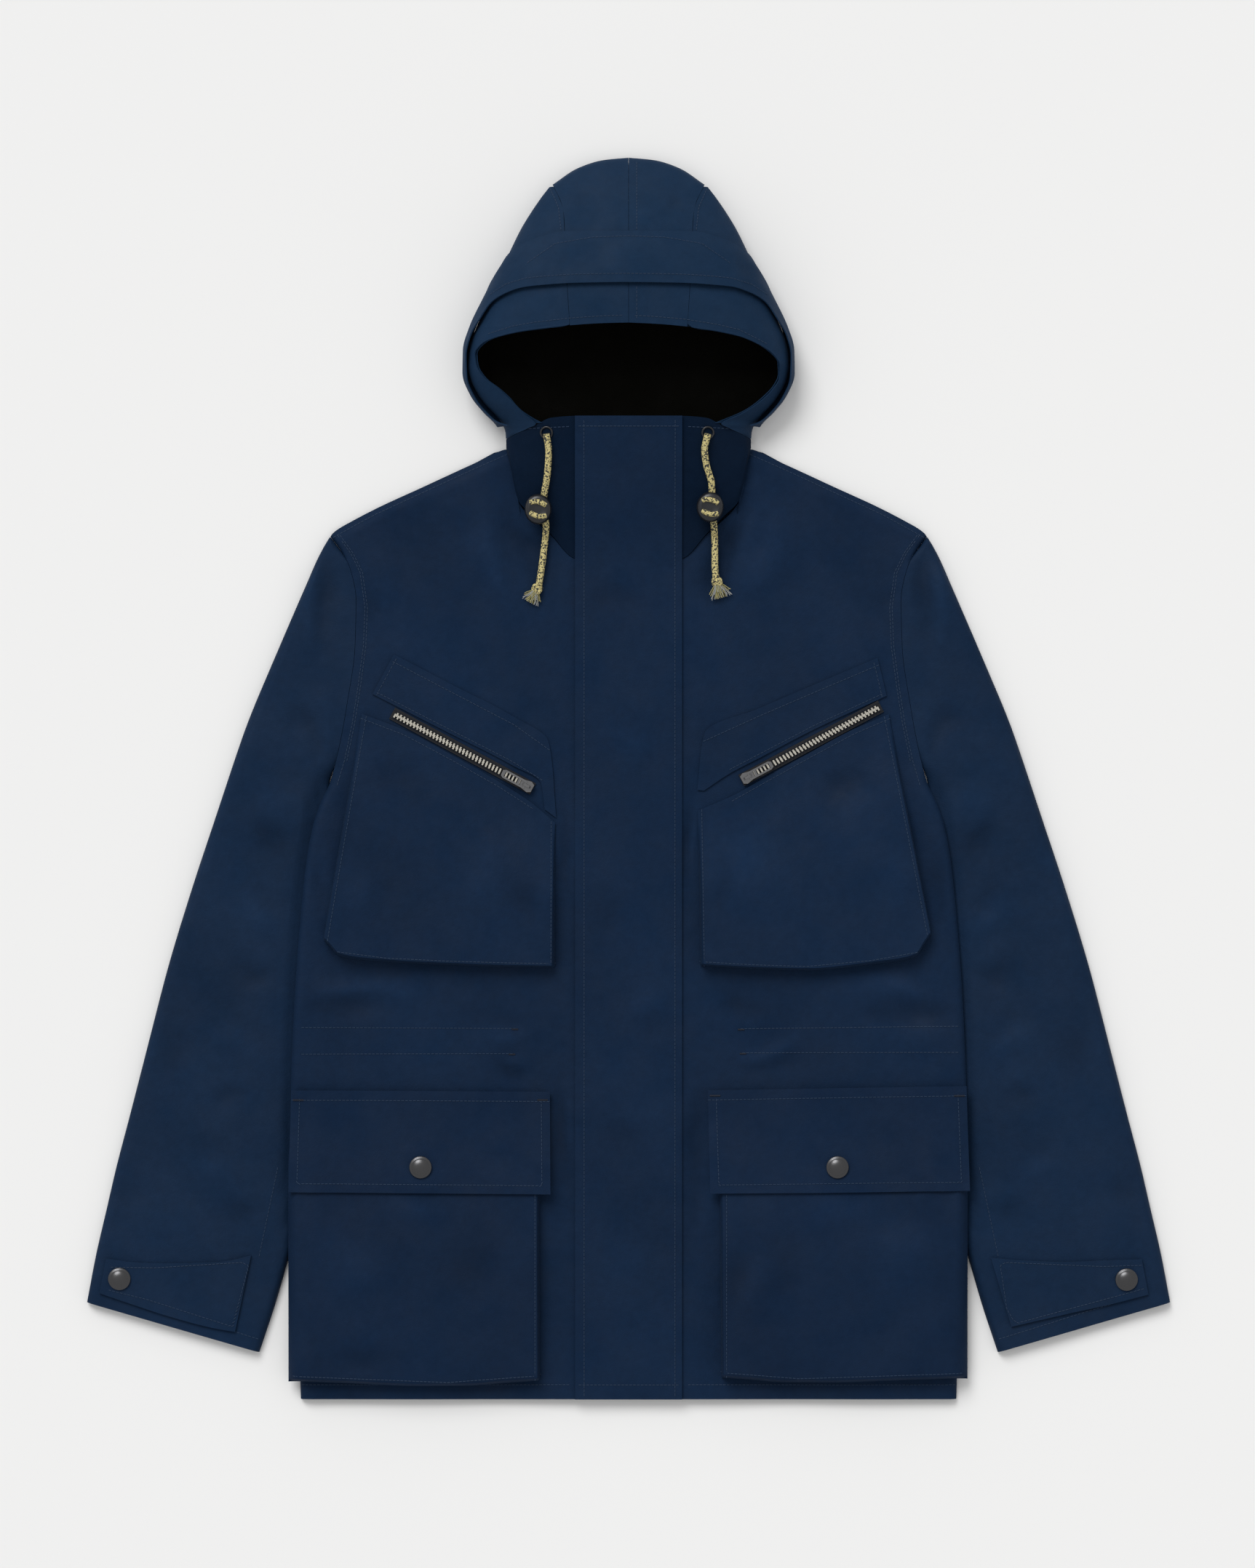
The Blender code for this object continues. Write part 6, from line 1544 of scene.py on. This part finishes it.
def stitch_hood():
    cloth = ("hood_crown_left", "hood_crown_right", "hood_side_left", "hood_side_right")
    runs = [[(side * max(row.x - 3.0, 0.0), row.y + 6.0) for row in rim_of(side)[:6]] for _, side in SIDES]
    runs += list(CROWN_ROWS)
    runs += [mirrored(CROWN_SIDE_ROW, side) for _, side in SIDES]
    stitch("stitches_hood", cloth, runs)
    runs = []
    for _, side in SIDES:
        free_edge = [hood_point(side, row.free_y, row.free_angle, row.free_off) for row in STORM_FLAP]
        runs.append([(p.x, p.y + 7.0) for p in free_edge[:7]])
    runs += [mirrored(STORM_FLAP_SEAM, side) for _, side in SIDES]
    stitch("stitches_storm_flap", ("hood_storm_flap",), runs)


def make_stitches():
    stitch("stitches_placket", ("placket",), PLACKET_ROWS)
    for label, side in SIDES:
        stitch_front(side, label)
        stitch_chest_pocket(side, label)
        stitch_lower_pocket(side, label)
        stitch_sleeve(side, label)
        stitch("stitches_collar_" + label, ("collar_" + label,), [mirrored(COLLAR_ROW, side)])
    stitch_hood()


TOOTH_PITCH = 3.05
TOOTH = {"Pitch": TOOTH_PITCH * MM, "Length": 0.00135, "Width": 0.0033, "Height": 0.0021}
TAPE_THREAD = {"Pitch": 0.0028, "Length": 0.0020, "Width": 0.0003, "Height": 0.0003}


def zip_row(side, label, off, start, stop, count, rise):
    """Points in metres in a line beside a zip's middle, to `stop` short of its slider."""
    outer, ahead, length = zip_frame(label)
    sideways = Vector((-ahead.y, ahead.x, 0.0))
    row = []
    for along in np.linspace(start, length - stop, count).tolist():
        place = outer + ahead * along + sideways * off
        z = top_height(place.x, place.y) + LAYER_GAP + ZIP_TAPE_THICKNESS + rise
        row.append((side * place.x * MM, place.y * MM, z * MM))
    return row


def make_teeth(side, label):
    """Two rows of metal teeth, half a pitch apart, and the thread woven along the tape."""
    for number, (off, shift) in enumerate(((0.75, 0.0), (-0.75, TOOTH_PITCH / 2.0))):
        row = zip_row(side, label, off, shift, 6.6, 24, 1.45)
        made = settle_rows("zip_teeth_%s_%d" % (label, number), [row], TOOTH_ROWS, TOOTH,
                           FINISHES["zip_teeth"])
        if number == 0:
            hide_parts("zip_chain_" + label)
    rows = [zip_row(side, label, off, -2.0, 4.0, 30, 0.35) for off in (-3.4, 3.4)]
    settle_rows("zip_tape_thread_" + label, rows, THREAD_ROWS, TAPE_THREAD, FINISHES["thread_dark"])


def lathe(name, profile, centre, finish, steps=48, squash=(1.0, 1.0)):
    """Turned piece from a profile of (radius, height), in millimetres."""
    points = []
    for radius, height in profile:
        for step in range(steps):
            angle = 2.0 * math.pi * step / steps
            x = centre[0] + radius * squash[0] * math.cos(angle)
            y = centre[1] + radius * squash[1] * math.sin(angle)
            points.append((x * MM, y * MM, (centre[2] + height) * MM))
    faces = []
    for ring in range(len(profile) - 1):
        for step in range(steps):
            a = ring * steps + step
            b = ring * steps + (step + 1) % steps
            faces.append((a, b, b + steps, a + steps))
    faces.append(tuple(reversed(range(steps))))
    faces.append(tuple(range((len(profile) - 1) * steps, len(profile) * steps)))
    mesh = bpy.data.meshes.new(name)
    mesh.from_pydata(points, [], faces)
    mesh.shade_smooth()
    mesh.set_sharp_from_angle(angle=math.radians(38.0))
    mesh.materials.append(FINISHES[finish])
    return add_piece(name, mesh)


SNAP_PROFILE = [(8.5, 0.0), (9.2, 0.4), (9.2, 1.0), (8.8, 1.5), (8.2, 1.7), (7.8, 1.75), (7.0, 2.5),
                (6.0, 3.1), (4.6, 3.65), (3.0, 4.0), (1.4, 4.17), (0.2, 4.2)]
SNAP_REACH = 10.2          # the flap is measured this far to both sides of a snap


def make_snap_pieces(side, label):
    place = POCKET_SNAP[label]
    seat = max(flap_height(label, place.x, place.y + step) for step in (-SNAP_REACH, 0.0, SNAP_REACH))
    lathe("pocket_snap_" + label, SNAP_PROFILE, (side * place.x, place.y, seat + SEAM_GAP), "snap")
    place = CUFF_SNAP[label]
    seat = sleeve_surface(place.x, place.y) + LAYER_GAP + DOUBLE_CLOTH + 2.0 * SEAM_GAP
    lathe("cuff_snap_" + label, SNAP_PROFILE, (side * place.x, place.y, seat), "snap")


# ---- drawcords ------------------------------------------------------------

# Section of a stopper, in shares of its half sizes and of its height.
STOPPER_PROFILE = [(0.74, 0.0), (0.86, 0.05), (0.94, 0.13), (0.985, 0.26), (1.0, 0.42), (0.995, 0.56),
                   (0.97, 0.68), (0.93, 0.78), (0.87, 0.86), (0.78, 0.92), (0.66, 0.955), (0.60, 0.95),
                   (0.56, 0.92), (0.2, 0.915)]
STOPPER_LID = 0.915        # height of its sunk top, as a share
LOOP_RADIUS = 2.1          # of the cord where it comes out of the stopper's two holes
LOOP_REACH = 6.2
LOOP_OFF = 4.3
EYELET_RADIUS = 4.6
EYELET_WIRE = 0.9
EYELET_OFF = 1.2           # from the cord's first point to the eyelet's middle
YARNS = 84
YARN = {"Pitch": 0.0011, "Length": 0.0013, "Width": 0.00030, "Height": 0.0003}
YARN_TURN = 2.399963       # golden angle, so that the yarns fill a round evenly
YARN_START = 5.0           # past the end of the cord's route
TUFT_END = {"left": PlanPoint(-82.0, 143.0), "right": PlanPoint(76.6, 148.0)}
TUFT_SIZE = {"left": (15.5, 7.2), "right": (16.5, 8.8)}


def cord_points(label, count=90):
    """Middle of a drawcord in metres, all the way from its eyelet to its knot."""
    route = CORD_ROUTE[label]
    reach = [0.0]
    for a, b in zip(route, route[1:]):
        reach.append(reach[-1] + math.hypot(b.x - a.x, b.y - a.y))
    rows_x = [PlanPoint(s, p.x) for s, p in zip(reach, route)]
    rows_y = [PlanPoint(s, p.y) for s, p in zip(reach, route)]
    line = []
    for i in range(count + 1):
        s = reach[-1] * i / count
        x, y = read(rows_x, "x", "y", s), read(rows_y, "x", "y", s)
        rest = highest_near(x, y, 2.0, 4.0)
        line.append(Vector((x, y, rest + CORD_LIE + CORD_DIAMETER / 2.0)) * MM)
    return line, sum((b - a).length for a, b in zip(line, line[1:]))


def highest_near(x, y, half_x, half_y):
    """Highest that the cloth comes under something that lies on it."""
    return max(over_height(x + dx, y + dy)
               for dx in (-half_x, 0.0, half_x) for dy in (-half_y, 0.0, half_y))


def tube(name, line, radius, finish):
    curve = bpy.data.curves.new(name, "CURVE")
    curve.dimensions = "3D"
    curve.bevel_depth = radius
    curve.bevel_resolution = 4
    curve.use_fill_caps = True
    spline = curve.splines.new("POLY")
    spline.points.add(len(line) - 1)
    spline.points.foreach_set("co", np.array([(*p, 1.0) for p in line]).ravel())
    spline.use_smooth = True
    curve.materials.append(FINISHES[finish])
    made = bpy.data.objects.new(name, curve)
    bpy.context.scene.collection.objects.link(made)
    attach(made, "garment")
    return made


def make_stopper(label):
    """A flat oval bead, and the height of its sunk top, where the cord's loops lie."""
    place = STOPPER_PLACE[label]
    foot = highest_near(place.x, place.y, 9.0, 11.0) + LAYER_GAP
    bead = lathe("stopper_" + label, [(r, h * STOPPER_HEIGHT) for r, h in STOPPER_PROFILE],
                 (place.x, place.y, foot), "stopper", 64,
                 (STOPPER_HALF_WIDTH, STOPPER_HALF_LENGTH))
    return bead, foot + STOPPER_HEIGHT * STOPPER_LID


def make_stopper_loops(label, lid):
    place = STOPPER_PLACE[label]
    loops = []
    for number, way in enumerate((1, -1)):
        line = []
        for t in np.linspace(-1.0, 1.0, 14).tolist():
            arch = 1.0 - t * t
            y = place.y + LOOP_OFF * way + 1.6 * arch * way - 1.2 * t
            line.append(Vector((place.x + LOOP_REACH * t, y, lid + 1.5 * arch - 0.5)) * MM)
        loop = tube("cord_loop_%s_%d" % (label, number), line, LOOP_RADIUS * MM, "cord")
        loops.append(loop)
    return loops


def make_eyelet(label, start):
    """Metal ring that the cord comes out of."""
    middle_x, middle_y = start.x / MM, start.y / MM + EYELET_OFF
    line = []
    for i in range(25):
        angle = 2.0 * math.pi * i / 24.0
        x = middle_x + EYELET_RADIUS * math.cos(angle)
        y = middle_y + EYELET_RADIUS * math.sin(angle)
        line.append(Vector((x, y, over_height(x, y) + EYELET_WIRE)) * MM)
    ring = tube("eyelet_" + label, line, EYELET_WIRE * MM, "stopper")


def make_tuft(label):
    """Overhand knot and the loose yarns past it."""
    last = CORD_ROUTE[label][-1]
    end = TUFT_END[label]
    start = Vector((last.x, last.y, 0.0))
    ahead = (Vector((end.x, end.y, 0.0)) - start).normalized()
    across = Vector((-ahead.y, ahead.x, 0.0))
    middle_z = over_height(last.x, last.y) + LAYER_GAP + 3.0
    reach, wide = TUFT_SIZE[label]
    rows = []
    for i in range(YARNS):
        spin = i * YARN_TURN
        share = math.sqrt((i + 0.5) / YARNS)
        out = share * math.cos(spin)
        up = share * math.sin(spin)
        length = reach * (0.84 + 0.16 * math.cos(i * 1.7)) - YARN_START
        row = []
        for t in np.linspace(0.0, 1.0, 7).tolist():
            flare = 0.38 + 0.62 * t ** 1.3
            curl = 0.9 * math.sin(3.0 * t + i) * t
            point = start + ahead * (YARN_START + length * t) + across * (wide * out * flare + curl)
            row.append((point.x * MM, point.y * MM, (middle_z + 3.4 * up * (0.8 + 0.2 * t)) * MM))
        rows.append(row)
    knot = []
    for i in range(61):
        turn = i / 60.0 * 2.0 * math.pi
        point = start + ahead * (3.4 + 2.1 * math.sin(2.0 * turn)) + across * (2.6 * math.cos(turn))
        knot.append((point.x * MM, point.y * MM, (middle_z + 0.4 + 1.7 * math.sin(3.0 * turn)) * MM))
    cream = settle_rows("yarn_ends_" + label, rows[::2], THREAD_ROWS, YARN, FINISHES["tassel"])
    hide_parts("tassel_" + label)
    settle_rows("yarn_core_" + label, rows[1::2], THREAD_ROWS, YARN, FINISHES["tassel_grey"])
    knot_piece = tube("cord_knot_" + label, knot, 2.0 * MM, "cord")
    return cream


def make_cord_set(label):
    line, length = cord_points(label)
    stopper, lid = make_stopper(label)
    cord = tube("drawcord_" + label, line, CORD_DIAMETER / 2.0 * MM, "cord")
    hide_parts("cord_" + label, "cord_tail_" + label)
    loops = make_stopper_loops(label, lid)
    tuft = make_tuft(label)
    make_eyelet(label, line[0])


def finish_cad_pieces():
    for label, _ in SIDES:
        for name in ("slider_" + label, "pull_tab_" + label):
            node = bpy.data.objects.get(name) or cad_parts[name]
            node.data.materials.clear()
            node.data.materials.append(FINISHES["gunmetal"])


def build():
    make_back()
    make_placket()
    make_storm_flap()
    make_rim_facing()
    make_lining()
    for label, side in SIDES:
        make_front(side, label)
        make_collar(side, label)
        make_sleeve(side, label)
        make_cuff_tab(side, label)
        make_hood_side(side, label)
        make_hood_crown(side, label)
        make_chest_yoke(side, label)
        make_chest_bag(side, label)
        make_zip(side, label)
        make_teeth(side, label)
        make_lower_bag(side, label)
        make_pocket_flap(side, label)
        make_snap_pieces(side, label)
        make_cord_set(label)
    make_stitches()
    finish_cad_pieces()


build()
